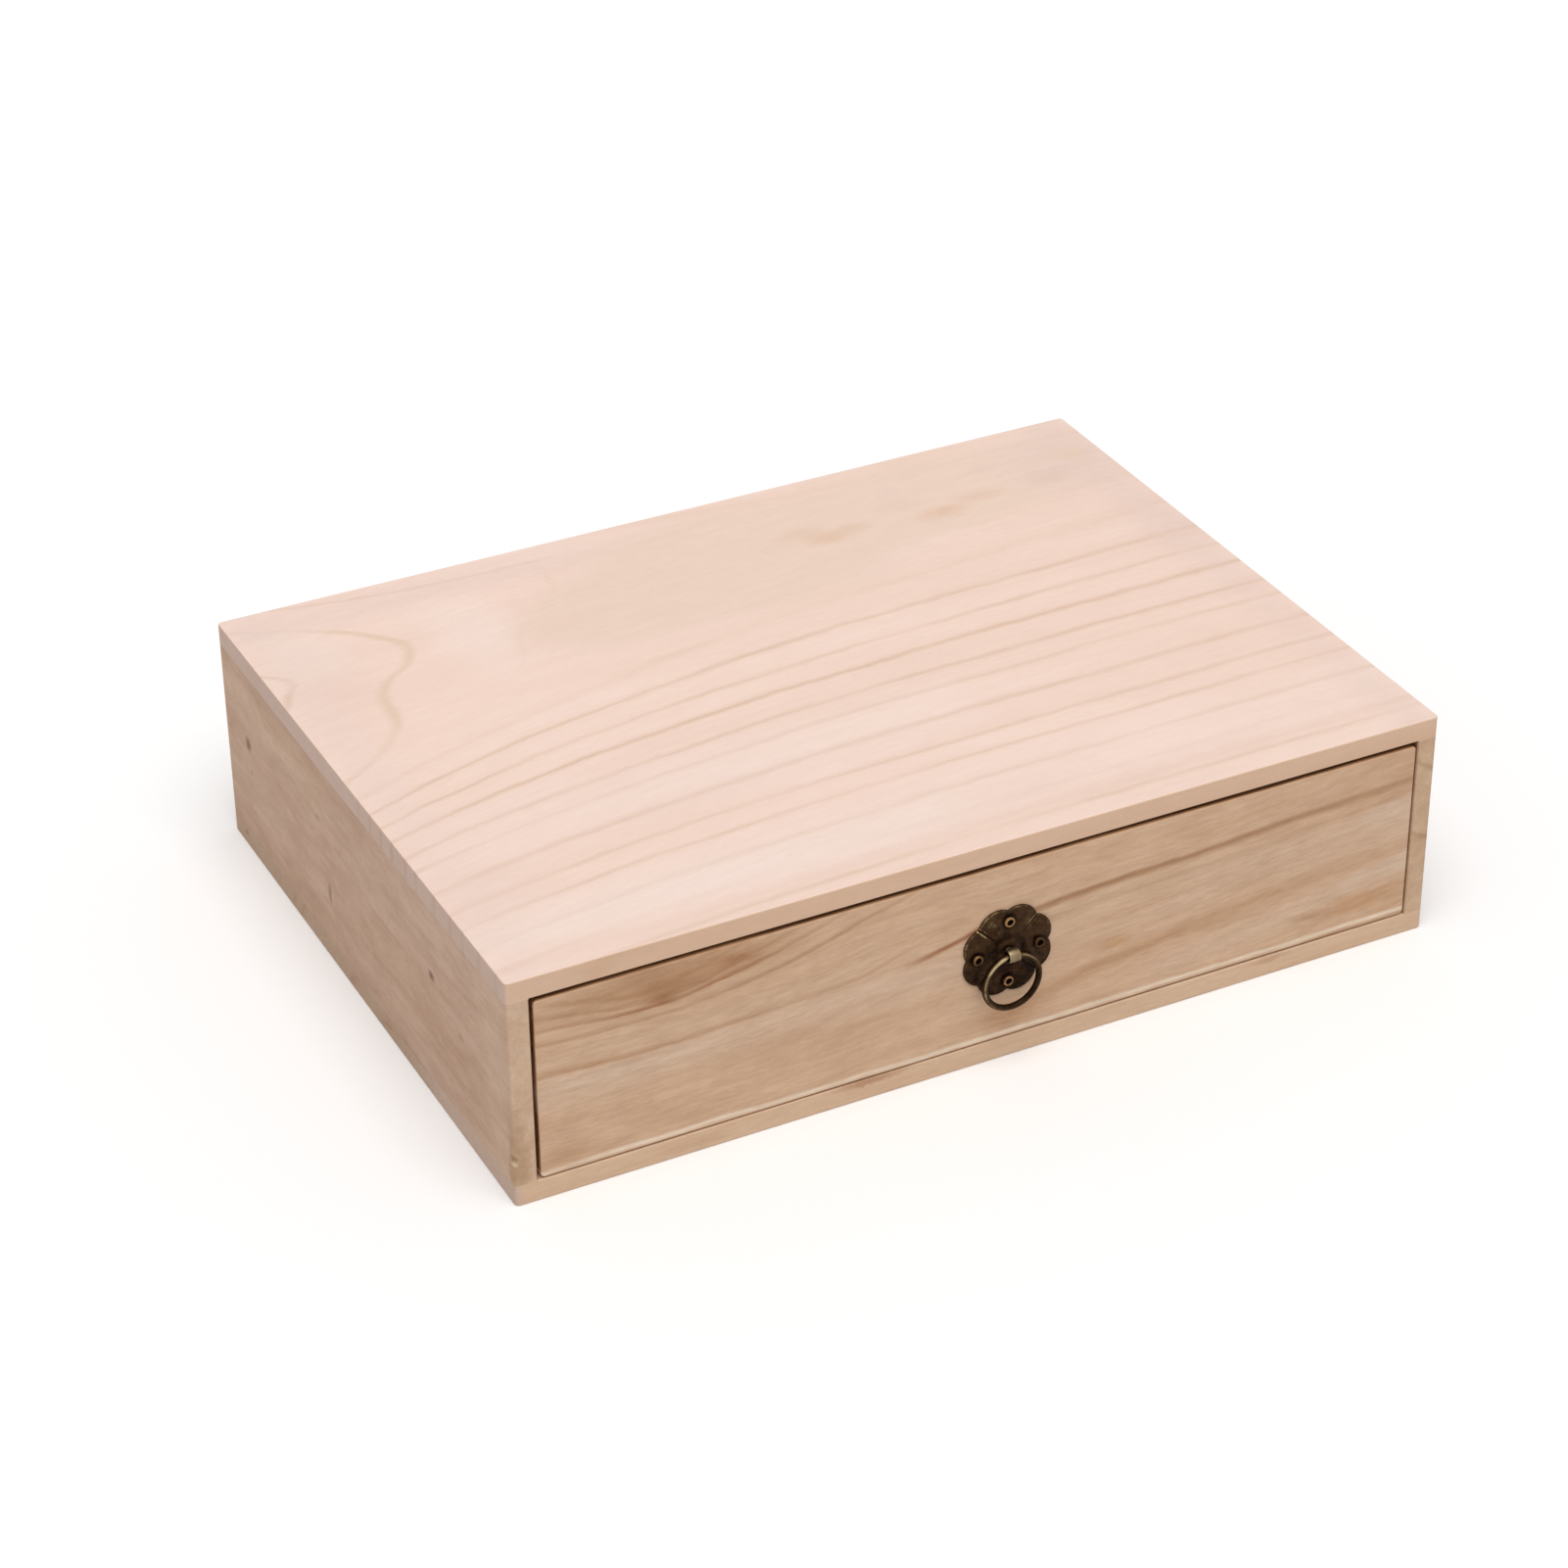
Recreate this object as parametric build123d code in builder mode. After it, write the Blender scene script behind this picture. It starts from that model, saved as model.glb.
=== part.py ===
from build123d import *
from math import cos, radians, sin, sqrt
import os

# Desktop drawer organizer: a flat case of pale boards, one full-width drawer and a bronze ring pull.
# Millimetres. +X is to the right, +Y to the back, +Z up. The origin is the middle of the case's underside.

# Case
case_width = 330.0
case_depth = 243.0
case_height = 82.0
top_thickness = 7.5
bottom_thickness = 7.5
side_thickness = 7.5
back_thickness = 7.5
case_edge_radius = 0.5  # sanded edges of the top and the underside
case_corner_radius = 1.6  # upright corners, sanded rounder
opening_edge = 0.4  # sanded edges round the drawer opening

# Drawer, and the gaps that it runs with
side_gap = 0.9
drawer_shift = 0.35  # how far right of the middle the drawer stands in its side gaps
top_gap = 1.5
running_gap = 0.5  # under the drawer
end_gap = 2.0  # behind the drawer when it is shut
front_thickness = 10.0
front_lip = 4.0  # part of the front that covers the ends of the drawer sides
front_corner_radius = 1.5
front_edge_radius = 0.6
drawer_side_thickness = 6.0
drawer_back_thickness = 8.0
side_drop = 6.0  # drawer sides stop this far below the top of the front
drawer_edge_radius = 0.8
panel_thickness = 3.0
panel_height = 5.0  # wood left under the groove
panel_fit = 0.1  # play of the panel in its grooves, each way
side_groove_depth = 3.0
front_groove_depth = 4.0

# Headless brads
case_brad_radius = 0.6
case_brad_length = 20.0
case_brad_cover = 1.0  # filled wood over a case brad
side_brad_count = 3
back_brad_count = 3
case_brad_margin = 20.0
back_edge_margin = 55.0
back_end_brad_count = 2
back_end_margin = 12.0
drawer_brad_radius = 0.5
drawer_brad_length = 14.0
drawer_brad_sink = 0.5
joint_brad_count = 2
drawer_brad_margin = 15.0
panel_brad_length = 10.0
panel_brad_count = 3
panel_brad_margin = 40.0
brad_fit = 0.05
brad_end_gap = 0.3

# Ring pull
pull_offset = 4.65  # fitted by hand, right of the middle of the front
pull_raise = 0.8  # and above it
lobe_count = 8
notch_radius = 14.8
crest_radius = 16.4
plate_thickness = 0.9
plate_edge = 0.3
boss_radius = 4.6
boss_height = 0.5
groove_width = 0.6
groove_depth = 0.35
groove_length = 6.0
groove_runout = 1.5  # how far the engraving tool runs out past a notch
groove_count = 4
screw_count = 4
screw_circle_radius = 11.1
screw_head_radius = 2.0
screw_head_height = 1.2
screw_head_round = 0.8
screw_recess_radius = 0.85
screw_recess_depth = 0.7
screw_shank_radius = 0.9
screw_point = 0.6
screw_cover = 3.0  # wood left between a screw's point and the inside of the drawer
screw_plate_fit = 0.15
screw_wood_fit = 0.05
ring_radius = 9.75
wire_radius = 1.05
eye_width = 4.0
eye_wall = 0.85
eye_fit = 0.15
eye_rim = 0.25
collar_radius = 1.5
collar_height = 0.2
stem_radius = 1.1
stem_fit = 0.05
rivet_radius = 1.9
rivet_height = 0.8
pocket_radius = 2.6
pocket_end_gap = 0.5

# Places that follow from the sizes
front_y = -case_depth / 2
back_y = case_depth / 2
back_inner_y = back_y - back_thickness
opening_width = case_width - 2 * side_thickness
opening_bottom = bottom_thickness
opening_top = case_height - top_thickness
side_height = opening_top - opening_bottom
side_depth = case_depth
drawer_width = opening_width - 2 * side_gap
drawer_low = opening_bottom + running_gap
front_height = opening_top - top_gap - drawer_low
drawer_side_height = front_height - side_drop
drawer_inner_width = drawer_width - 2 * drawer_side_thickness
drawer_x = drawer_shift
lip_back_y = front_y + front_lip
front_back_y = front_y + front_thickness
drawer_end_y = back_inner_y - end_gap
drawer_back_y = drawer_end_y - drawer_back_thickness
drawer_side_length = drawer_end_y - lip_back_y
panel_low = drawer_low + panel_height
panel_top = panel_low + panel_thickness
groove_height = panel_thickness + 2 * panel_fit
panel_width = drawer_inner_width + 2 * (side_groove_depth - panel_fit)
panel_front_y = front_back_y - front_groove_depth + panel_fit
case_hole_radius = case_brad_radius + brad_fit
drawer_hole_radius = drawer_brad_radius + brad_fit


def spread(low, high, count):
    """Return count places, evenly spaced from low to high."""
    if count == 1:
        return [(low + high) / 2]
    return [low + (high - low) * k / (count - 1) for k in range(count)]


# Brad places
side_middle_x = (case_width - side_thickness) / 2
back_middle_y = back_y - back_thickness / 2
side_brad_ys = spread(front_y + case_brad_margin, back_inner_y - case_brad_margin, side_brad_count)
back_brad_xs = spread(
    -opening_width / 2 + back_edge_margin, opening_width / 2 - back_edge_margin, back_brad_count
)
side_row_points = [(side * side_middle_x, y) for side in (-1, 1) for y in side_brad_ys]
case_brad_points = side_row_points + [(x, back_middle_y) for x in back_brad_xs]
back_end_zs = spread(opening_bottom + back_end_margin, opening_top - back_end_margin, back_end_brad_count)
back_end_points = [(back_middle_y, z) for z in back_end_zs]
drawer_brad_zs = spread(
    drawer_low + drawer_brad_margin,
    drawer_low + drawer_side_height - drawer_brad_margin,
    joint_brad_count,
)
front_joint_y = (lip_back_y + front_back_y) / 2
back_joint_y = (drawer_back_y + drawer_end_y) / 2
front_joint_points = [(front_joint_y, z) for z in drawer_brad_zs]
back_joint_points = [(back_joint_y, z) for z in drawer_brad_zs]
panel_brad_xs = spread(
    drawer_x - drawer_inner_width / 2 + panel_brad_margin,
    drawer_x + drawer_inner_width / 2 - panel_brad_margin,
    panel_brad_count,
)
panel_brad_points = [(x, back_joint_y) for x in panel_brad_xs]

# Pull places: the plane lies on the drawer's face and looks out of it
front_middle_z = drawer_low + front_height / 2
pull_x = drawer_x + pull_offset
pull_z = front_middle_z + pull_raise
pull_plane = Plane(origin=(pull_x, front_y, pull_z), x_dir=(1, 0, 0), z_dir=(0, -1, 0))
boss_top = plate_thickness + boss_height
wire_sag = ring_radius - sqrt(ring_radius**2 - (eye_width / 2) ** 2)
eye_bore = wire_radius + wire_sag + eye_fit
eye_radius = eye_bore + eye_wall
pivot_out = boss_top + collar_height + eye_radius
pivot = Vector(pull_x, front_y - pivot_out, pull_z)
ring_centre = pivot - Vector(0, 0, ring_radius)
screw_depth = front_thickness - screw_cover
pocket_depth = rivet_height + pocket_end_gap
groove_cut = groove_length + groove_runout
groove_middle = notch_radius - groove_length + groove_cut / 2

# Case top: it lies over both sides and the back
with BuildPart() as case_top:
    with BuildSketch(Plane.XY.offset(opening_top)):
        Rectangle(case_width, case_depth)
    extrude(amount=top_thickness)
    fillet(case_top.edges().filter_by(Axis.Z), case_corner_radius)
    fillet(case_top.faces().sort_by(Axis.Z)[-1].edges(), case_edge_radius)
    with BuildSketch(Plane.YZ.offset(-opening_width / 2)):
        with BuildLine():
            Polyline(
                (front_y, opening_top),
                (front_y + opening_edge, opening_top),
                (front_y, opening_top + opening_edge),
                close=True,
            )
        make_face()
    extrude(amount=opening_width, mode=Mode.SUBTRACT)
    with BuildSketch(Plane.XY.offset(opening_top)):
        with Locations(*case_brad_points):
            Circle(case_hole_radius)
    extrude(amount=top_thickness - case_brad_cover, mode=Mode.SUBTRACT)

# Case bottom: the sides and the back stand on it, and the drawer runs on it
with BuildPart() as case_bottom:
    with BuildSketch():
        Rectangle(case_width, case_depth)
    extrude(amount=bottom_thickness)
    fillet(case_bottom.edges().filter_by(Axis.Z), case_corner_radius)
    fillet(case_bottom.faces().sort_by(Axis.Z)[0].edges(), case_edge_radius)
    with BuildSketch(Plane.YZ.offset(-opening_width / 2)):
        with BuildLine():
            Polyline(
                (front_y, opening_bottom),
                (front_y + opening_edge, opening_bottom),
                (front_y, opening_bottom - opening_edge),
                close=True,
            )
        make_face()
    extrude(amount=opening_width, mode=Mode.SUBTRACT)
    with BuildSketch(Plane.XY.offset(case_brad_cover)):
        with Locations(*case_brad_points):
            Circle(case_hole_radius)
    extrude(amount=bottom_thickness - case_brad_cover, mode=Mode.SUBTRACT)

# Case sides: left and right, between the top and the bottom
case_edge_hole = case_brad_length + case_brad_cover + brad_end_gap
case_sides = {}
for node, side in (("case_left_side", -1), ("case_right_side", 1)):
    with BuildPart() as case_side:
        with BuildSketch(Plane.XY.offset(opening_bottom)):
            with Locations((side * side_middle_x, 0)):
                Rectangle(side_thickness, side_depth)
        extrude(amount=side_height)
        upright_edges = case_side.edges().filter_by(Axis.Z).sort_by(Axis.X)
        outer_edges = upright_edges[:2] if side < 0 else upright_edges[-2:]
        inner_edges = upright_edges[-2:] if side < 0 else upright_edges[:2]
        fillet(outer_edges, case_corner_radius)
        chamfer(inner_edges.sort_by(Axis.Y)[0], opening_edge)
        side_points = [point for point in side_row_points if point[0] * side > 0]
        with BuildSketch(Plane.XY.offset(opening_top)):
            with Locations(*side_points):
                Circle(case_hole_radius)
        extrude(amount=top_thickness - case_edge_hole, mode=Mode.SUBTRACT)
        with BuildSketch(Plane.XY.offset(opening_bottom)):
            with Locations(*side_points):
                Circle(case_hole_radius)
        extrude(amount=case_edge_hole - bottom_thickness, mode=Mode.SUBTRACT)
        with BuildSketch(Plane.YZ.offset(side * opening_width / 2)):
            with Locations(*back_end_points):
                Circle(case_hole_radius)
        extrude(amount=side * (side_thickness - case_brad_cover), mode=Mode.SUBTRACT)
    case_sides[node] = case_side

# Case back: it closes the case between the four other boards
with BuildPart() as case_back:
    with BuildSketch(Plane.XY.offset(opening_bottom)):
        with Locations((0, back_middle_y)):
            Rectangle(opening_width, back_thickness)
    extrude(amount=side_height)
    with BuildSketch(Plane.XY.offset(opening_top)):
        with Locations(*[(x, back_middle_y) for x in back_brad_xs]):
            Circle(case_hole_radius)
    extrude(amount=top_thickness - case_edge_hole, mode=Mode.SUBTRACT)
    with BuildSketch(Plane.XY.offset(opening_bottom)):
        with Locations(*[(x, back_middle_y) for x in back_brad_xs]):
            Circle(case_hole_radius)
    extrude(amount=case_edge_hole - bottom_thickness, mode=Mode.SUBTRACT)
    for side in (-1, 1):
        with BuildSketch(Plane.YZ.offset(side * opening_width / 2)):
            with Locations(*back_end_points):
                Circle(case_hole_radius)
        extrude(amount=side * (side_thickness - case_edge_hole), mode=Mode.SUBTRACT)

# Case brads: through the top, through the bottom, and through the sides into the back
with BuildPart() as case_top_brads:
    with BuildSketch(Plane.XY.offset(case_height - case_brad_cover)):
        with Locations(*case_brad_points):
            Circle(case_brad_radius)
    extrude(amount=-case_brad_length)

with BuildPart() as case_bottom_brads:
    with BuildSketch(Plane.XY.offset(case_brad_cover)):
        with Locations(*case_brad_points):
            Circle(case_brad_radius)
    extrude(amount=case_brad_length)

with BuildPart() as case_back_brads:
    for side in (-1, 1):
        with BuildSketch(Plane.YZ.offset(side * (case_width / 2 - case_brad_cover))):
            with Locations(*back_end_points):
                Circle(case_brad_radius)
        extrude(amount=-side * case_brad_length)

# Drawer front: flush with the case, rebated at both ends for the sides
screw_hole_radius = screw_shank_radius + screw_wood_fit
drawer_joint_hole = drawer_brad_sink + drawer_brad_length + brad_end_gap
with BuildPart() as drawer_front:
    with BuildSketch(Plane.XZ.offset(-front_y)):
        with Locations((drawer_x, front_middle_z)):
            RectangleRounded(drawer_width, front_height, front_corner_radius)
    extrude(amount=-front_thickness)
    fillet(drawer_front.faces().sort_by(Axis.Y)[0].edges(), front_edge_radius)
    for side in (-1, 1):
        rebate_middle_x = drawer_x + side * (drawer_width - drawer_side_thickness) / 2
        with BuildSketch(Plane.XZ.offset(-front_back_y)):
            with Locations((rebate_middle_x, front_middle_z)):
                Rectangle(drawer_side_thickness, front_height)
        extrude(amount=front_thickness - front_lip, mode=Mode.SUBTRACT)
        with BuildSketch(Plane.YZ.offset(drawer_x + side * drawer_inner_width / 2)):
            with Locations(*front_joint_points):
                Circle(drawer_hole_radius)
        extrude(amount=side * (drawer_side_thickness - drawer_joint_hole), mode=Mode.SUBTRACT)
    with BuildSketch(Plane.XY.offset(panel_low - panel_fit)):
        with Locations((drawer_x, front_back_y - front_groove_depth / 2)):
            Rectangle(drawer_inner_width, front_groove_depth)
    extrude(amount=groove_height, mode=Mode.SUBTRACT)
    with BuildSketch(pull_plane):
        with PolarLocations(screw_circle_radius, screw_count):
            Circle(screw_hole_radius)
    extrude(amount=-screw_depth - brad_end_gap, mode=Mode.SUBTRACT)
    with BuildSketch(pull_plane):
        Circle(pocket_radius)
    extrude(amount=-pocket_depth, mode=Mode.SUBTRACT)

# Drawer sides: left and right, grooved for the bottom panel
drawer_sides = {}
for node, side in (("drawer_left_side", -1), ("drawer_right_side", 1)):
    drawer_side_x = drawer_x + side * (drawer_width - drawer_side_thickness) / 2
    with BuildPart() as drawer_side:
        with BuildSketch(Plane.XY.offset(drawer_low)):
            with Locations((drawer_side_x, (lip_back_y + drawer_end_y) / 2)):
                Rectangle(drawer_side_thickness, drawer_side_length)
        extrude(amount=drawer_side_height)
        fillet(drawer_side.edges().filter_by(Axis.Y).sort_by(Axis.Z)[-2:], drawer_edge_radius)
        with BuildSketch(Plane.YZ.offset(drawer_x + side * drawer_inner_width / 2)):
            with Locations(((lip_back_y + drawer_end_y) / 2, (panel_low + panel_top) / 2)):
                Rectangle(drawer_side_length, groove_height)
        extrude(amount=side * side_groove_depth, mode=Mode.SUBTRACT)
        with BuildSketch(Plane.YZ.offset(drawer_x + side * drawer_inner_width / 2)):
            with Locations(*front_joint_points, *back_joint_points):
                Circle(drawer_hole_radius)
        extrude(amount=side * drawer_side_thickness, mode=Mode.SUBTRACT)
    drawer_sides[node] = drawer_side

# Drawer back: between the sides, on top of the bottom panel
panel_joint_hole = drawer_brad_sink + panel_brad_length + brad_end_gap
with BuildPart() as drawer_back:
    with BuildSketch(Plane.XY.offset(panel_top)):
        with Locations((drawer_x, back_joint_y)):
            Rectangle(drawer_inner_width, drawer_back_thickness)
    extrude(amount=drawer_low + drawer_side_height - panel_top)
    fillet(drawer_back.edges().filter_by(Axis.X).sort_by(Axis.Z)[-2:], drawer_edge_radius)
    for side in (-1, 1):
        with BuildSketch(Plane.YZ.offset(drawer_x + side * drawer_inner_width / 2)):
            with Locations(*back_joint_points):
                Circle(drawer_hole_radius)
        extrude(amount=side * (drawer_side_thickness - drawer_joint_hole), mode=Mode.SUBTRACT)
    with BuildSketch(Plane.XY.offset(panel_top)):
        with Locations(*panel_brad_points):
            Circle(drawer_hole_radius)
    extrude(amount=panel_joint_hole - panel_thickness, mode=Mode.SUBTRACT)

# Drawer bottom: a thin panel in the grooves, which passes under the back
with BuildPart() as drawer_bottom:
    with BuildSketch(Plane.XY.offset(panel_low)):
        with Locations((drawer_x, (panel_front_y + drawer_end_y) / 2)):
            Rectangle(panel_width, drawer_end_y - panel_front_y)
    extrude(amount=panel_thickness)
    with BuildSketch(Plane.XY.offset(panel_low)):
        with Locations(*panel_brad_points):
            Circle(drawer_hole_radius)
    extrude(amount=panel_thickness, mode=Mode.SUBTRACT)

# Drawer brads: through the sides into the front and the back, and up through the panel
drawer_joint_brads = {}
for node, joint_points in (
    ("drawer_front_brads", front_joint_points),
    ("drawer_back_brads", back_joint_points),
):
    with BuildPart() as joint_brads:
        for side in (-1, 1):
            with BuildSketch(Plane.YZ.offset(drawer_x + side * (drawer_width / 2 - drawer_brad_sink))):
                with Locations(*joint_points):
                    Circle(drawer_brad_radius)
            extrude(amount=-side * drawer_brad_length)
    drawer_joint_brads[node] = joint_brads

with BuildPart() as drawer_bottom_brads:
    with BuildSketch(Plane.XY.offset(panel_low + drawer_brad_sink)):
        with Locations(*panel_brad_points):
            Circle(drawer_brad_radius)
    extrude(amount=panel_brad_length)

# Pull backplate: a flower outline of arcs, with a boss in the middle and four engraved lines
with BuildPart() as pull_backplate:
    with BuildSketch(pull_plane):
        with BuildLine():
            for lobe in range(lobe_count):
                start = radians(360 * lobe / lobe_count)
                middle = radians(360 * (lobe + 0.5) / lobe_count)
                end = radians(360 * (lobe + 1) / lobe_count)
                ThreePointArc(
                    (notch_radius * cos(start), notch_radius * sin(start)),
                    (crest_radius * cos(middle), crest_radius * sin(middle)),
                    (notch_radius * cos(end), notch_radius * sin(end)),
                )
        make_face()
    extrude(amount=plate_thickness)
    chamfer(pull_backplate.faces().sort_by(Axis.Y)[0].edges(), plate_edge)
    with BuildSketch(pull_plane.offset(plate_thickness)):
        Circle(boss_radius)
    extrude(amount=boss_height, taper=45)
    with BuildSketch(pull_plane.offset(plate_thickness - groove_depth)):
        with PolarLocations(groove_middle, groove_count, start_angle=180 / groove_count):
            SlotOverall(groove_cut, groove_width)
    extrude(amount=groove_depth, mode=Mode.SUBTRACT)
    with BuildSketch(pull_plane):
        with PolarLocations(screw_circle_radius, screw_count):
            Circle(screw_shank_radius + screw_plate_fit)
    extrude(amount=plate_thickness, mode=Mode.SUBTRACT)
    with BuildSketch(pull_plane):
        Circle(stem_radius + stem_fit)
    extrude(amount=boss_top, mode=Mode.SUBTRACT)

# Pull post: the eye that holds the ring, and a stem riveted over behind the plate
with BuildPart() as pull_post:
    with BuildSketch(pull_plane.offset(-rivet_height)):
        Circle(rivet_radius)
    extrude(amount=rivet_height)
    with BuildSketch(pull_plane):
        Circle(stem_radius)
    extrude(amount=boss_top)
    with BuildSketch(pull_plane.offset(boss_top)):
        Circle(collar_radius)
    extrude(amount=collar_height + eye_wall)
    with BuildSketch(Plane.YZ.offset(pull_x - eye_width / 2)):
        with Locations((pivot.Y, pivot.Z)):
            Circle(eye_radius)
    extrude(amount=eye_width)
    with BuildSketch(Plane.YZ.offset(pull_x - eye_width / 2)):
        with Locations((pivot.Y, pivot.Z)):
            Circle(eye_bore)
    extrude(amount=eye_width, mode=Mode.SUBTRACT)
    eye_ends = pull_post.faces().filter_by(Plane.YZ)
    chamfer(eye_ends.edges().filter_by(GeomType.CIRCLE), eye_rim)

# Pull ring: round wire that hangs in the eye
with BuildPart() as pull_ring:
    with BuildSketch(Plane(origin=ring_centre, x_dir=(1, 0, 0), z_dir=(0, 0, 1))):
        with Locations((ring_radius, 0)):
            Circle(wire_radius)
    revolve(axis=Axis(ring_centre, (0, 1, 0)))

# Pull screws: small round heads with a deep recess, one at each quarter of the plate
with BuildPart() as pull_screws:
    with BuildSketch(pull_plane.offset(plate_thickness)):
        with PolarLocations(screw_circle_radius, screw_count):
            Circle(screw_head_radius)
    extrude(amount=screw_head_height)
    head_fronts = pull_screws.faces().filter_by(Plane.XZ).group_by(Axis.Y)[0]
    fillet(head_fronts.edges(), screw_head_round)
    with BuildSketch(pull_plane.offset(plate_thickness + screw_head_height - screw_recess_depth)):
        with PolarLocations(screw_circle_radius, screw_count):
            Circle(screw_recess_radius)
    extrude(amount=screw_recess_depth, mode=Mode.SUBTRACT)
    with BuildSketch(pull_plane.offset(plate_thickness)):
        with PolarLocations(screw_circle_radius, screw_count):
            Circle(screw_shank_radius)
    extrude(amount=-plate_thickness - screw_depth)
    shank_ends = pull_screws.faces().filter_by(Plane.XZ).group_by(Axis.Y)[-1]
    chamfer(shank_ends.edges(), screw_point)

# Files: one for each piece
pieces = {
    "case_top": case_top,
    "case_bottom": case_bottom,
    "case_back": case_back,
    "case_top_brads": case_top_brads,
    "case_bottom_brads": case_bottom_brads,
    "case_back_brads": case_back_brads,
    "drawer_front": drawer_front,
    "drawer_back": drawer_back,
    "drawer_bottom": drawer_bottom,
    "drawer_bottom_brads": drawer_bottom_brads,
    "pull_backplate": pull_backplate,
    "pull_post": pull_post,
    "pull_ring": pull_ring,
    "pull_screws": pull_screws,
    **case_sides,
    **drawer_sides,
    **drawer_joint_brads,
}
os.makedirs("parts", exist_ok=True)
for node, piece in pieces.items():
    piece.part.label = node
    export_step(piece.part, f"parts/{node}.step")
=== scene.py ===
from math import cos, pi, radians, sin

import bpy
import numpy as np
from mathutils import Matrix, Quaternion, Vector


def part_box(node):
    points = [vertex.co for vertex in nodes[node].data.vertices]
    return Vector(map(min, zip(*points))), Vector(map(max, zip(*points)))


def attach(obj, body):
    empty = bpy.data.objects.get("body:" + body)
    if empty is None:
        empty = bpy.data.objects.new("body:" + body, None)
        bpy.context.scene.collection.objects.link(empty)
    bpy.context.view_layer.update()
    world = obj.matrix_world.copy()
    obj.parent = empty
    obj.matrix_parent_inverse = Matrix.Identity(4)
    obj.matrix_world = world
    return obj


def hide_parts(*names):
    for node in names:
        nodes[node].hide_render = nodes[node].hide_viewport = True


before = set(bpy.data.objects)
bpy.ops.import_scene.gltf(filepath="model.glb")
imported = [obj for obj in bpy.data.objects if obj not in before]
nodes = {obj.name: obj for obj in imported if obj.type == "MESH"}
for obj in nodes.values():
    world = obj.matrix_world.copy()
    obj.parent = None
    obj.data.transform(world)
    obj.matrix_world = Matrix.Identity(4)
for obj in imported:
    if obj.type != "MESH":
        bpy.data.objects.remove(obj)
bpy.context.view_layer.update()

# Desktop drawer organizer: bare sanded boards and an antique bronze ring pull. Metres, +Z up.
# Patterns are worked out in millimetres, and the sizes of the pull are in millimetres too.
MM = 0.001


# Materials: helpers
def colour(hex_code):
    """Turn an sRGB hex colour into the linear red, green, blue and alpha of Blender's sockets."""
    parts = [int(hex_code[start : start + 2], 16) / 255 for start in (0, 2, 4)]
    linear = [part / 12.92 if part <= 0.04045 else ((part + 0.055) / 1.055) ** 2.4 for part in parts]
    return (*linear, 1.0)


def add(tree, kind, inputs=None, points=None, **settings):
    """Add a node with its settings. An input is a value, a socket or a node, by its name or number.

    Numbers and names count only the sockets that the settings leave in use. Points are a curve's.
    """
    made = tree.nodes.new(kind)
    for name, value in settings.items():
        setattr(made, name, value)
    if points:
        curve = made.mapping.curves[0]
        while len(curve.points) < len(points):
            curve.points.new(0.5, 0.5)
        for point, place in zip(curve.points, points):
            point.location = place
        made.mapping.update()
    in_use = [socket for socket in made.inputs if socket.enabled]
    for key, value in (inputs or {}).items():
        if isinstance(key, int):
            target = in_use[key]
        else:
            target = next(socket for socket in in_use if socket.name == key)
        if isinstance(value, bpy.types.Node):
            value = next(socket for socket in value.outputs if socket.enabled)
        if isinstance(value, bpy.types.NodeSocket):
            tree.links.new(value, target)
        else:
            target.default_value = value
    return made


def start_material(name):
    """Make an empty material and return it with its node tree."""
    material = bpy.data.materials.new(name)
    material.use_nodes = True
    material.node_tree.nodes.clear()
    return material, material.node_tree


# Wood: every pattern is a solid field in millimetres, along the grain, across it and through the
# board, so that faces, edges and ends cut through the same growth rings. A turn lays the grain
# along X or along Y
LONG_GRAIN_X = (0, 0, 0)
LONG_GRAIN_Y = (0, 0, -pi / 2)


def fibres(tree, grain, length, width, seed, detail=2.0):
    """Noise drawn out along the grain, from 0 to 1: length and width in mm of its longest streaks.

    Each seed starts it elsewhere, so that no two boards and no two patterns are alike.
    """
    stretched = add(
        tree,
        "ShaderNodeMapping",
        {"Vector": grain, "Location": (seed, 0, 0), "Scale": (1 / length, 1 / width, 1 / width)},
    )
    return add(
        tree,
        "ShaderNodeTexNoise",
        {"Vector": stretched, "Scale": 1.0, "Detail": detail, "Roughness": 0.6},
    )


def bend(tree, grain, length, width, seed, amount):
    """Shift each place of a board by up to half an amount in mm, as uneven growth bends the grain."""
    noise = fibres(tree, grain, length, width, seed, detail=3.0)
    offset = add(
        tree,
        "ShaderNodeVectorMath",
        {0: noise.outputs["Color"], 1: (0.5,) * 3},
        operation="SUBTRACT",
    )
    return add(
        tree,
        "ShaderNodeVectorMath",
        {0: offset, 1: (amount,) * 3, 2: grain},
        operation="MULTIPLY_ADD",
    )


def follow(tree, place, points, room):
    """Height of a given line, (mm along, height) for each point, with room to swing past them."""
    first, last = points[0][0], points[-1][0]
    low = min(y for _, y in points) - room
    high = max(y for _, y in points) + room
    run = add(tree, "ShaderNodeMapRange", {"Value": place, "From Min": first, "From Max": last})
    placed = [((x - first) / (last - first), (y - low) / (high - low)) for x, y in points]
    line = add(tree, "ShaderNodeFloatCurve", {"Value": run}, points=placed)
    return add(tree, "ShaderNodeMath", {0: line, 1: high - low, 2: low}, operation="MULTIPLY_ADD")


def facing(tree, normal, axis):
    """1 on the faces that look along an axis of the part, 0 on the others, soft over a round arris."""
    towards = add(tree, "ShaderNodeVectorMath", {0: normal, 1: axis}, operation="DOT_PRODUCT")
    return add(
        tree,
        "ShaderNodeMapRange",
        {"Value": towards, "From Min": 0.5, "From Max": 0.95},
        interpolation_type="SMOOTHSTEP",
    )


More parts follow.
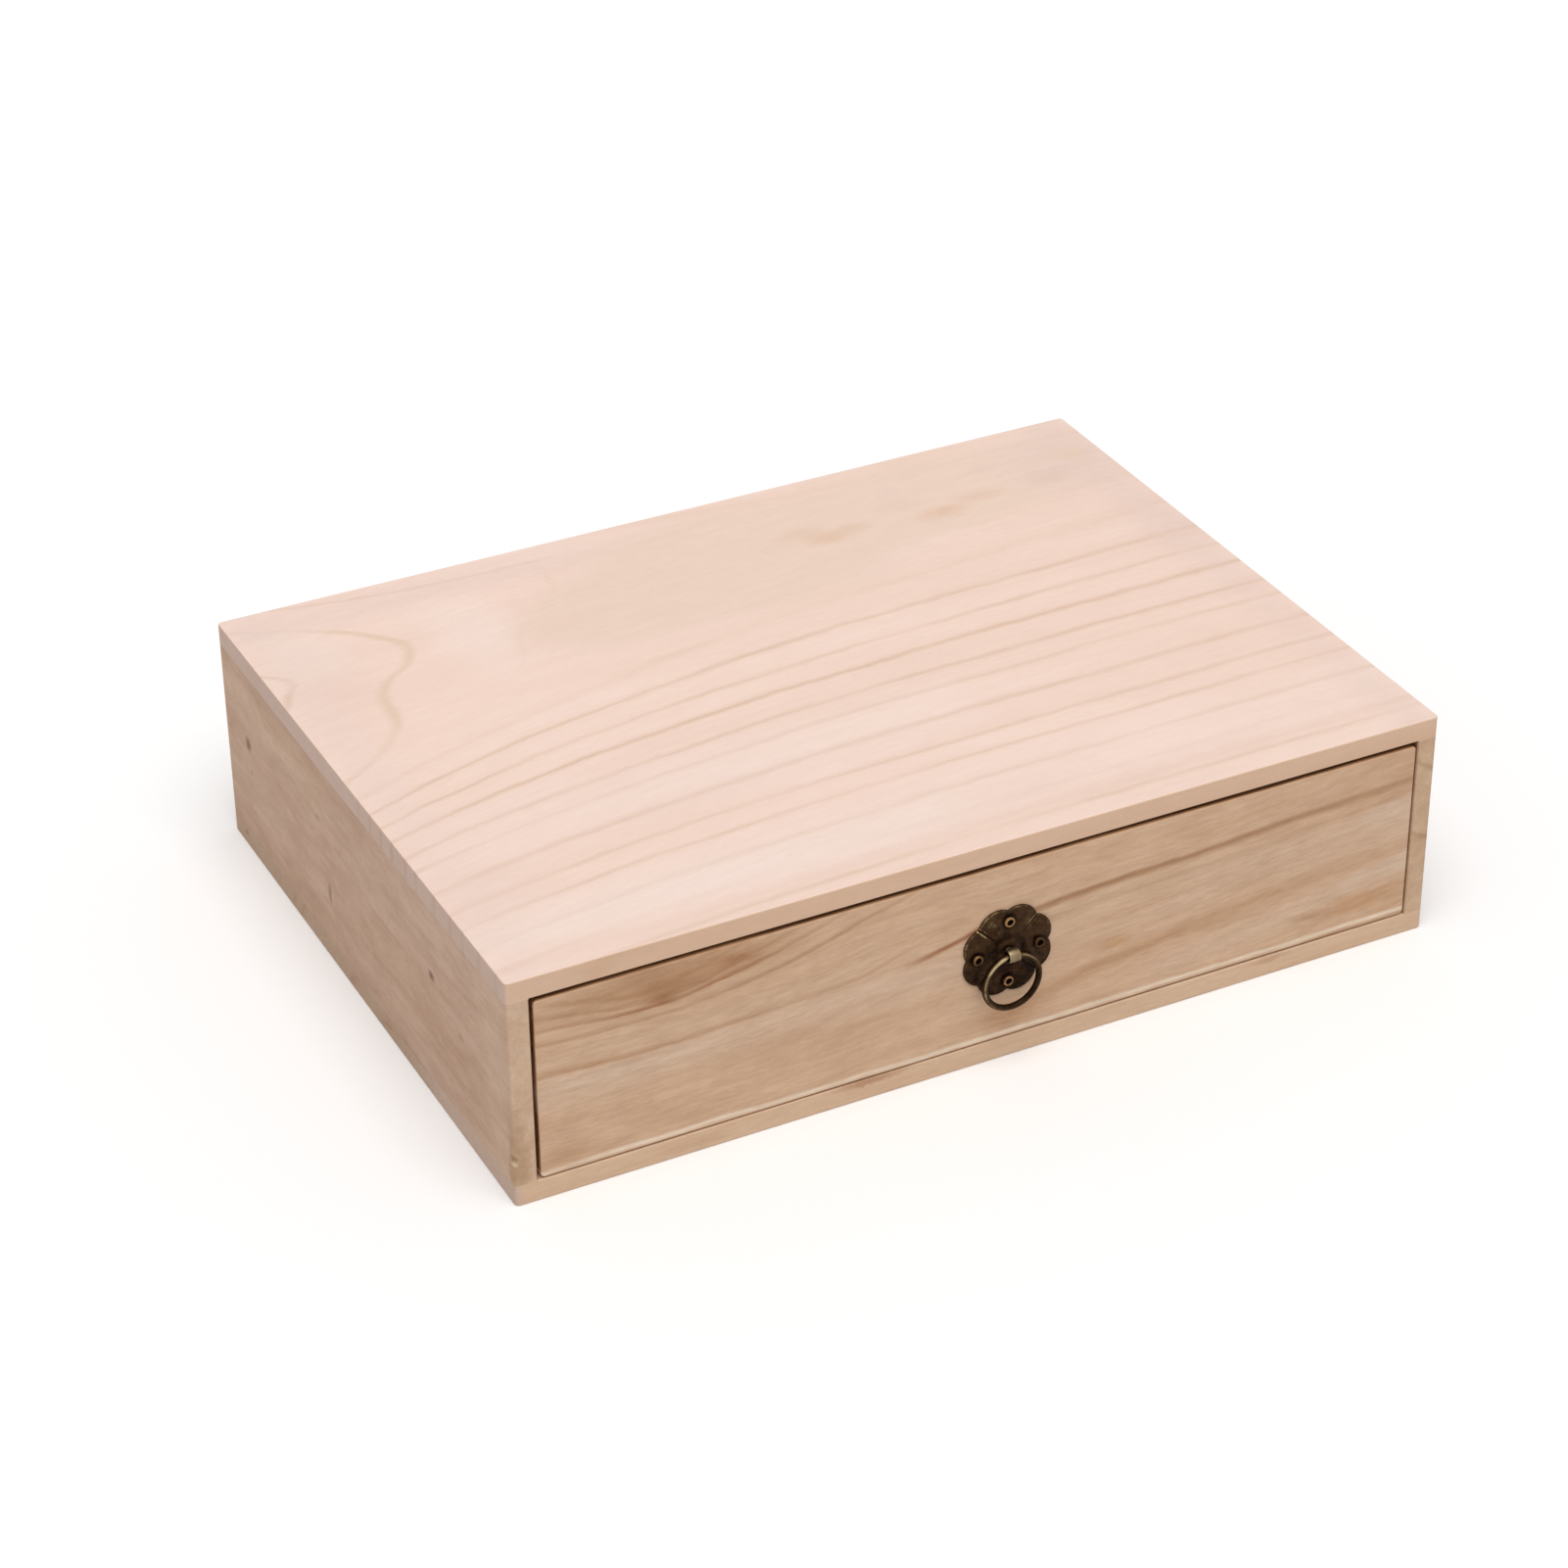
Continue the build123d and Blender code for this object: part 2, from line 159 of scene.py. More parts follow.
def streak(tree, tone, place, mark, shown):
    """Draw one coloured streak along a given line, as a stain, a growth line, a painted highlight along an
    arris or a painted shade.

    Its axes name the directions along and across it, its points are (mm along, mm across, strength),
    and it fades out over so many mm below and above the line.
    """
    along, across = (place.outputs[axis] for axis in mark["axes"])
    line = follow(tree, along, [(x, y) for x, y, _ in mark["points"]], room=10.0)
    offset = add(tree, "ShaderNodeMath", {0: across, 1: line}, operation="SUBTRACT")
    below = add(
        tree,
        "ShaderNodeMapRange",
        {"Value": offset, "From Min": -mark["below"], "From Max": 0.0},
        interpolation_type="SMOOTHSTEP",
    )
    above = add(
        tree,
        "ShaderNodeMapRange",
        {"Value": offset, "From Min": 0.0, "From Max": mark["above"], "To Min": 1.0, "To Max": 0.0},
        interpolation_type="SMOOTHSTEP",
    )
    shape = add(tree, "ShaderNodeMath", {0: below, 1: above}, operation="MULTIPLY")
    strength = follow(tree, along, [(x, force) for x, _, force in mark["points"]], room=0.1)
    drawn = add(tree, "ShaderNodeMath", {0: shape, 1: strength}, operation="MULTIPLY")
    amount = add(tree, "ShaderNodeMath", {0: drawn, 1: shown}, operation="MULTIPLY")
    return add(tree, "ShaderNodeMix", {0: amount, 1: tone, 2: colour(mark["colour"])}, data_type="RGBA")


def patch(tree, tone, bent, mark, shown):
    """Draw one soft spot: an ellipsoid with centre and half sizes in mm, solid out to its core.

    A mark is (centre, half sizes, core as a share of them, strength, colour, kind of edge).
    """
    centre, half, core, strength, hex_code, _ = mark
    local = add(
        tree,
        "ShaderNodeMapping",
        {"Vector": bent, "Location": centre, "Scale": half},
        vector_type="TEXTURE",
    )
    distance = add(tree, "ShaderNodeVectorMath", {0: local}, operation="LENGTH")
    drawn = add(
        tree,
        "ShaderNodeMapRange",
        {"Value": distance, "From Min": core, "To Min": strength, "To Max": 0.0},
        interpolation_type="SMOOTHSTEP",
    )
    amount = add(tree, "ShaderNodeMath", {0: drawn, 1: shown}, operation="MULTIPLY")
    return add(tree, "ShaderNodeMix", {0: amount, 1: tone, 2: colour(hex_code)}, data_type="RGBA")


def late_wood(tree, drift, board, fading):
    """Dark autumn wood, from 0 to 1: distance from the pith, turned into years and then into lines.

    The pith is a line whose side and height are set at places along the board. Each ring has its
    radius in mm and its own strength, because wet and dry years differ.
    """
    place = add(tree, "ShaderNodeSeparateXYZ", {0: drift})
    side = follow(tree, place.outputs["X"], [(x, y) for x, y, _ in board["pith"]], room=10.0)
    height = follow(tree, place.outputs["X"], [(x, z) for x, _, z in board["pith"]], room=10.0)
    across = add(tree, "ShaderNodeMath", {0: place.outputs["Y"], 1: side}, operation="SUBTRACT")
    through = add(tree, "ShaderNodeMath", {0: place.outputs["Z"], 1: height}, operation="SUBTRACT")
    radius = add(tree, "ShaderNodeCombineXYZ", {"Y": across, "Z": through})
    distance = add(tree, "ShaderNodeVectorMath", {0: radius}, operation="LENGTH")
    rings = board["rings"]
    outermost = rings[-1][0]
    share = add(tree, "ShaderNodeMath", {0: distance, 1: outermost}, operation="DIVIDE")
    counted = add(
        tree,
        "ShaderNodeFloatCurve",
        {"Value": share},
        points=[(ring / outermost, year / (len(rings) - 1)) for year, (ring, _) in enumerate(rings)],
    )
    years = add(tree, "ShaderNodeMath", {0: counted, 1: len(rings) - 1.0}, operation="MULTIPLY")
    season = add(tree, "ShaderNodeMath", {0: years}, operation="FRACT")
    late = add(tree, "ShaderNodeFloatCurve", {"Value": season}, points=board["late_shape"])
    strength = add(
        tree,
        "ShaderNodeFloatCurve",
        {"Value": share},
        points=[(ring / outermost, force) for ring, force in rings],
    )
    late = add(tree, "ShaderNodeMath", {0: late, 1: strength}, operation="MULTIPLY")
    return add(tree, "ShaderNodeMath", {0: late, 1: fading}, operation="MULTIPLY")


def paulownia(name, board):
    """Bare paulownia, planed and sanded, with no oil or varnish.

    It gives the eye a pale, dry, dull wood: soft late-wood lines that end sharply on their outer
    side, fine short pores drawn out along the grain, and slow drifts between pink and straw.
    """
    material, tree = start_material(name)
    seed = board["seed"]
    coordinates = add(tree, "ShaderNodeTexCoord")
    grain = add(
        tree,
        "ShaderNodeMapping",
        {"Vector": coordinates.outputs["Object"], "Rotation": board["turn"], "Scale": (1 / MM,) * 3},
    )
    drift = bend(tree, grain, length=70, width=22, seed=seed, amount=board["drift"])
    drift = bend(tree, drift, length=11, width=7, seed=seed + 2, amount=board["wobble"])
    ragged = bend(tree, drift, length=9, width=4, seed=seed + 1, amount=6.0)
    place = add(tree, "ShaderNodeSeparateXYZ", {0: drift})

    # Base tone of each face, then the slow drifts and the growth rings
    tone = colour(board["tone"])
    for axis, face_tone in board["faces"]:
        there = facing(tree, coordinates.outputs["Normal"], axis)
        tone = add(tree, "ShaderNodeMix", {0: there, 1: tone, 2: colour(face_tone)}, data_type="RGBA")
    slow = add(
        tree,
        "ShaderNodeMapRange",
        {
            "Value": fibres(tree, grain, length=160, width=34, seed=seed + 5),
            "From Min": 0.3, "From Max": 0.7, "To Max": board["slow"],
        },
        interpolation_type="SMOOTHSTEP",
    )
    tone = add(
        tree,
        "ShaderNodeMix",
        {0: slow, 1: tone, 2: colour(board["slow_tone"])},
        data_type="RGBA",
        blend_type="MULTIPLY",
    )
    fading = add(
        tree,
        "ShaderNodeMapRange",
        {
            "Value": fibres(tree, grain, length=60, width=12, seed=seed + 3),
            "From Min": 0.32, "From Max": 0.62, "To Min": board["faintest"],
        },
        interpolation_type="SMOOTHSTEP",
    )
    tone = add(
        tree,
        "ShaderNodeMix",
        {0: late_wood(tree, drift, board, fading), 1: tone, 2: colour(board["late_tone"])},
        data_type="RGBA",
        blend_type="MULTIPLY",
    )

    # Marks of this one board, where the photograph shows them, on all its faces or on one. A few on
    # the drawer front are painted shade and painted highlight
    shown = 1.0
    if "marked_face" in board:
        shown = facing(tree, coordinates.outputs["Normal"], board["marked_face"])
    for mark in board.get("streaks", ()):
        tone = streak(tree, tone, place, mark, shown)
    for mark in board.get("patches", ()):
        kind_of_edge = mark[-1]
        tone = patch(tree, tone, ragged if kind_of_edge == "ragged" else drift, mark, shown)

    # Fibres that follow the growth lines, flecks and soft mottles where they dip, and open pores, a
    # quarter of a millimetre wide as on the real wood. One fibre is too fine to show, so fibres are
    # drawn in bundles 2.2 mm wide and flecks 1.1 mm wide
    flowing = drift
    if "flow" in board:
        rise = follow(tree, place.outputs["X"], board["flow"], room=10.0)
        lift = add(tree, "ShaderNodeVectorMath", {0: board["flow_axis"], 1: rise}, operation="SCALE")
        flowing = add(tree, "ShaderNodeVectorMath", {0: drift, 1: lift}, operation="SUBTRACT")
    long_fibre = fibres(tree, flowing, length=55, width=2.2, seed=seed + 7, detail=4.0)
    mottle = fibres(tree, flowing, length=16, width=6, seed=seed + 11, detail=4.0)
    fleck = fibres(tree, flowing, length=7, width=1.1, seed=seed + 13)
    pore = fibres(tree, flowing, length=4, width=0.25, seed=seed + 9, detail=1.0)
    for noise, low, high, strength, shade in (
        (long_fibre, 0.25, 0.75, board["fibre"], "b08a68"),
        (fleck, 0.35, 0.65, board["fleck"], "a98667"),
        (mottle, 0.3, 0.7, board["mottle"], "b59376"),
        (pore, 0.52, 0.72, board["pores"], "8a6a4c"),
    ):
        amount = add(
            tree,
            "ShaderNodeMapRange",
            {"Value": noise, "From Min": low, "From Max": high, "To Max": strength},
            interpolation_type="SMOOTHSTEP",
        )
        tone = add(
            tree,
            "ShaderNodeMix",
            {0: amount, 1: tone, 2: colour(shade)},
            data_type="RGBA",
            blend_type="MULTIPLY",
        )

    # The sanded surface: fibres and pores are a few hundredths of a millimetre deep
    relief = add(tree, "ShaderNodeMath", {0: long_fibre, 1: pore}, operation="SUBTRACT")
    bump = add(tree, "ShaderNodeBump", {"Strength": 0.3, "Distance": 0.06 * MM, "Height": relief})
    rough = add(
        tree,
        "ShaderNodeMapRange",
        {"Value": pore, "From Min": 0.3, "From Max": 0.7, "To Min": 0.62, "To Max": 0.78},
        interpolation_type="SMOOTHSTEP",
    )
    shader = add(
        tree,
        "ShaderNodeBsdfPrincipled",
        {"Base Color": tone, "Roughness": rough, "Normal": bump, "IOR": 1.5, "Specular IOR Level": 0.25},
    )
    add(tree, "ShaderNodeOutputMaterial", {"Surface": shader})
    return material


# Growth lines through one year, from spring to autumn: pale, then darker, with a sharp or a soft end
SHARP_LATE_WOOD = [
    (0, 0.9), (0.05, 0.5), (0.1, 0.18), (0.18, 0.03), (0.5, 0.0), (0.76, 0.04), (0.86, 0.28),
    (0.94, 0.8), (1, 1),
]
SOFT_LATE_WOOD = [(0, 0.6), (0.12, 0.2), (0.4, 0.0), (0.7, 0.15), (0.9, 0.7), (1, 1)]


def plain_rings(spacing, count):
    """Rings of a board whose lines aren't shown one by one: years of uneven width and strength."""
    return [
        (spacing * (year + 0.25 * sin(2.4 * year)), 0.6 + 0.4 * cos(1.7 * year))
        for year in range(count)
    ]


# Planes that marks are centred on, in mm: the top, half a millimetre behind the front, and the left
# side. A grain laid along Y has its second axis to the left, so that there the left side is at -LEFT
TOP = 82
FRONT = -121
LEFT = -165
# Half size of a mark that reaches right through its board
THROUGH = 200

# What each board says of its wood, in mm and hex colours. The turn lays its grain. Drift and wobble
# are how far the grain wanders, slowly and quickly. Pith, rings and late shape place its growth
# lines, late tone is their colour, and faintest is the least that is left of one where it fades. Tone
# is the board's colour, faces name the sides that differ, some of them darkened as painted shade, and
# slow tone tints its slow drifts. Flow is a line that its fibres follow, along the flow axis. Slow,
# fibre, fleck, mottle and pores are how strongly each pattern shows, up to 1. Streaks and patches are
# its marks, a few of them painted shade and painted highlight, and a marked face is the only one that
# shows them
board_case_top = {
    "seed": 11,
    "turn": LONG_GRAIN_X,
    "drift": 3.0,
    "wobble": 1.6,
    "pith": [
        (-165, 77, 82), (-150, 77, 113.2), (-130, 77, 127.2), (-100, 77, 139), (-60, 77, 147.9),
        (0, 77, 154.8), (80, 77, 158.6), (165, 77, 160.2),
    ],
    "rings": [
        (0, 0), (22.9, 0), (37.8, 0), (52.4, 0), (67.1, 0), (84, 0.3), (93.1, 0.85), (102.2, 0.75),
        (111.1, 1), (122.2, 0.75), (130.7, 0.6), (144.9, 0.75), (157.6, 0.7), (166.7, 0.65),
        (179.1, 0.55), (192.2, 0.3), (204.4, 0.6), (217, 0.3),
    ],
    "late_shape": SHARP_LATE_WOOD,
    "late_tone": "ebe3d6",
    "faintest": 0.55,
    "tone": "e7c4a8",
    # The underside, inside the case, is darkened as painted shade
    "faces": [((0, 0, 1), "f4dacc"), ((-1, 0, 0), "d6bbac"), ((1, 0, 0), "d6bbac"), ((0, 0, -1), "b88f6b")],
    "flow": [(-165, -30), (-109, -20), (-65, -12), (13, -5), (102, 0), (165, 0)],
    "flow_axis": (0, 1, 0),
    "marked_face": (0, 0, 1),
    "slow": 0.3,
    "slow_tone": "f3eae2",
    "fibre": 0.05,
    "fleck": 0.02,
    "mottle": 0.03,
    "pores": 0.05,
    "streaks": [
        {
            "axes": "YX", "below": 4.6, "above": 3.6, "colour": "e3c8b1",
            "points": [
                (-3, -176, 0), (5, -164, 0.6), (21.5, -143, 0.4), (35, -135, 0.8), (48, -134, 0.8),
                (57, -129, 0.7), (68, -117, 0.7), (77, -114, 0.7), (88, -121, 0.8), (103, -143, 0.7),
                (112, -163, 0.6), (118, -176, 0),
            ],
        },
        {
            "axes": "YX", "below": 3.2, "above": 2.4, "colour": "dfc2af",
            "points": [
                (50, -176, 0), (56, -165, 0.6), (64, -161, 0.9), (71.5, -157, 0.9), (80, -165, 0.6),
                (86, -176, 0),
            ],
        },
        {
            "axes": "YX", "below": 2.4, "above": 2.4, "colour": "e6cab7",
            "points": [
                (46, -86, 0), (52, -82, 0.3), (68, -76, 0.4), (86, -56, 0.4), (104, -53, 0.3), (112, -54, 0),
            ],
        },
        {
            "axes": "XY", "below": 1.8, "above": 1.2, "colour": "e2c4b1",
            "points": [(-152, 123, 0), (-138, 119, 0.5), (-98, 113, 0.6), (-58, 111.5, 0.5), (-44, 111, 0)],
        },
        {
            "axes": "XY", "below": 16, "above": 24, "colour": "f6e5dd",
            "points": [
                (-165, -100, 0.15), (-115, -100, 0.55), (-20, -99, 0.5), (25, -97, 0.25), (165, -93, 0.25),
            ],
        },
        {
            "axes": "XY", "below": 30, "above": 26, "colour": "f5e2da",
            "points": [(-165, -42, 0), (-120, -42, 0.3), (-10, -40, 0.3), (40, -38, 0)],
        },
        {
            "axes": "XY", "below": 10, "above": 20, "colour": "e8cfc4",
            "points": [(-165, 106, 0.5), (-50, 106, 0.45), (-20, 106, 0.2), (10, 106, 0)],
        },
        {
            "axes": "YX", "below": 10, "above": 16, "colour": "e9d2c8",
            "points": [(-60, -157, 0.2), (0, -157, 0.35), (121, -157, 0.35)],
        },
        {
            "axes": "YX", "below": 16, "above": 10, "colour": "e5cdc2",
            "points": [(-121, 157, 0.4), (-60, 157, 0.3), (0, 157, 0.4), (121, 157, 0.35)],
        },
        {
            "axes": "XY", "below": 5, "above": 5, "colour": "e7cbbb",
            "points": [(-165, -115, 0.3), (-40, -112, 0.15), (20, -109, 0.35), (165, -107, 0.45)],
        },
    ],
    "patches": [
        ((-90, 76, TOP), (24, 38, THROUGH), 0.1, 0.5, "f5e2d8", "ragged"),
        ((-146, 84, TOP), (20, 30, THROUGH), 0.0, 0.6, "f1ded3", "ragged"),
        ((12, 79, TOP), (82, 46, THROUGH), 0.6, 0.95, "ecd2c1", "ragged"),
        ((-42, 66, TOP), (46, 32, THROUGH), 0.5, 0.85, "ecd2c1", "ragged"),
        ((95, 90, TOP), (82, 38, THROUGH), 0.5, 0.9, "ecd2c1", "ragged"),
        ((38, 86, TOP), (15, 6, THROUGH), 0.0, 0.6, "e3c6b0", "ragged"),
        ((47, 79, TOP), (15, 7, THROUGH), 0.0, 0.8, "e3c1a7", "ragged"),
        ((58, 81, TOP), (11, 6, THROUGH), 0.0, 0.7, "e3c6b0", "ragged"),
        ((80, 87, TOP), (13, 7, THROUGH), 0.0, 0.55, "e4ceb9", "ragged"),
        ((91, 77, TOP), (15, 7, THROUGH), 0.0, 0.8, "e3c1a7", "ragged"),
        ((108, 82, TOP), (15, 6, THROUGH), 0.0, 0.65, "e3c4ad", "ragged"),
        ((150, 92, TOP), (36, 42, THROUGH), 0.1, 0.7, "e5ccbf", "ragged"),
        ((136, 83, TOP), (13, 9, THROUGH), 0.0, 0.4, "dec6b8", "ragged"),
        ((119, 99, TOP), (9, 5, THROUGH), 0.0, 0.35, "dfc8ba", "ragged"),
        ((80, 99, TOP), (9, 4, THROUGH), 0.0, 0.35, "dfc8ba", "ragged"),
        ((153, 95, TOP), (12, 8, THROUGH), 0.0, 0.6, "e6cab3", "ragged"),
        ((158, 32, TOP), (26, 34, THROUGH), 0.0, 0.5, "e6ccbf", "ragged"),
        ((-146, 62, TOP), (26, 36, THROUGH), 0.0, 0.4, "e8ccbe", "ragged"),
        ((-150, -74, TOP), (34, 30, THROUGH), 0.0, 0.35, "e8cfc2", "ragged"),
    ],
}
board_case_bottom = {
    "seed": 29,
    "turn": LONG_GRAIN_X,
    "drift": 2.5,
    "wobble": 1.0,
    "pith": [(-165, -40, -64), (165, -60, -52)],
    "rings": plain_rings(10.5, 24),
    "late_shape": SOFT_LATE_WOOD,
    "late_tone": "efe2d5",
    "faintest": 0.2,
    "tone": "e9cbad",
    "faces": [((-1, 0, 0), "c6aa93"), ((1, 0, 0), "c6aa93")],
    "slow": 0.3,
    "slow_tone": "efe0d4",
    "fibre": 0.08,
    "fleck": 0.08,
    "mottle": 0.06,
    "pores": 0.08,
    "patches": [
        ((-42, FRONT, 7.0), (20, 20, 2.0), 0.1, 0.7, "bd8a66", "ragged"),
        ((104, FRONT, 5.4), (12, 20, 2.2), 0.0, 0.55, "c39572", "ragged"),
        ((-102, FRONT, 3.0), (14, 20, 2.2), 0.0, 0.4, "c39b78", "ragged"),
        ((LEFT, 109.4, 4.7), (6, 2.2, 1.8), 0.2, 0.6, "8d7450", "smooth"),
        ((LEFT, -92, 4), (4, 62, 12), 0.4, 0.7, "d9c0b0", "smooth"),
    ],
}
board_case_side = {
    "turn": LONG_GRAIN_Y,
    "drift": 3.0,
    "wobble": 1.6,
    "rings": plain_rings(8.6, 19),
    "late_shape": SOFT_LATE_WOOD,
    "late_tone": "f7f0e9",
    "faintest": 0.0,
    "tone": "d8b9a2",
    "faces": [((0, -1, 0), "e4c6a8"), ((0, 1, 0), "d6b698")],
    "slow": 0.4,
    "slow_tone": "eddfd4",
    "fibre": 0.1,
    "fleck": 0.06,
    "mottle": 0.24,
    "pores": 0.08,
}
board_case_left = {
    **board_case_side,
    "seed": 43,
    # The inner face, inside the case, is darkened as painted shade
    "faces": [((0, -1, 0), "e6c9ac"), ((0, 1, 0), "d6b698"), ((1, 0, 0), "b88f6b")],
    "pith": [(-125, 150, 92), (125, 178, 74)],
    "streaks": [
        {
            "axes": "XZ", "below": 16, "above": 18, "colour": "c8a68d",
            "points": [(-122, 7, 0), (-60, 7, 0.05), (-25, 7, 0.5), (0, 7, 0.6), (122, 7, 0.55)],
        },
        {
            "axes": "ZX", "below": 14, "above": 26, "colour": "e6cab0",
            "points": [(0, -114, 0.35), (30, -114, 0.4), (82, -114, 0.3)],
        },
        {
            "axes": "XZ", "below": 14, "above": 12, "colour": "e6cab0",
            "points": [(20, 61, 0), (45, 62, 0.4), (85, 63, 0.5), (122, 62, 0.45)],
        },
    ],
    "patches": [
        ((99, -LEFT, 45.6), (3.6, 8, 3.6), 0.1, 0.75, "745741", "smooth"),
        ((-62, -LEFT, 49), (3.6, 8, 2.4), 0.1, 0.8, "70523f", "smooth"),
        ((27, -LEFT, 27.5), (2.4, 8, 5.4), 0.1, 0.6, "826b52", "smooth"),
        ((34, -LEFT, 52.5), (2.8, 6, 1.9), 0.1, 0.4, "8d7460", "smooth"),
        ((98, -LEFT, 34.7), (2.2, 6, 1.7), 0.1, 0.4, "8d7460", "smooth"),
        ((-84, -LEFT, 39), (3.2, 6, 1.9), 0.1, 0.35, "8d7460", "smooth"),
        ((-122, -LEFT + 1, 13), (5, 9, 26), 0.5, 0.7, "c3a181", "ragged"),
        ((-121, -LEFT, 17.6), (3.2, 2.4, 1.5), 0.2, 0.7, "94714f", "smooth"),
        ((-121, -LEFT, 15.6), (2.6, 2.0, 1.2), 0.3, 0.8, "efd6b8", "smooth"),
    ],
}
board_case_right = {
    **board_case_side,
    "seed": 57,
    # The inner face, inside the case, is darkened as painted shade
    "faces": [((0, -1, 0), "e0c2a4"), ((0, 1, 0), "d6b698"), ((-1, 0, 0), "b88f6b")],
    "pith": [(-125, -200, 18), (125, -188, 4)],
    "streaks": [
        {
            "axes": "YZ", "below": 2.4, "above": 1.2, "colour": "b8936f",
            "points": [(-165, 63, 0.5), (-161, 65, 0.5), (-157.5, 69, 0.4)],
        },
        {
            "axes": "YZ", "below": 2.4, "above": 1.2, "colour": "b8936f",
            "points": [(-165, 36, 0.5), (-161, 38, 0.5), (-157.5, 40.5, 0.4)],
        },
    ],
}
board_case_back = {
    **board_case_bottom,
    "seed": 71,
    "tone": "e0c0a4",
    "pith": [(-165, 140, -30), (165, 150, -44)],
    "patches": (),
}
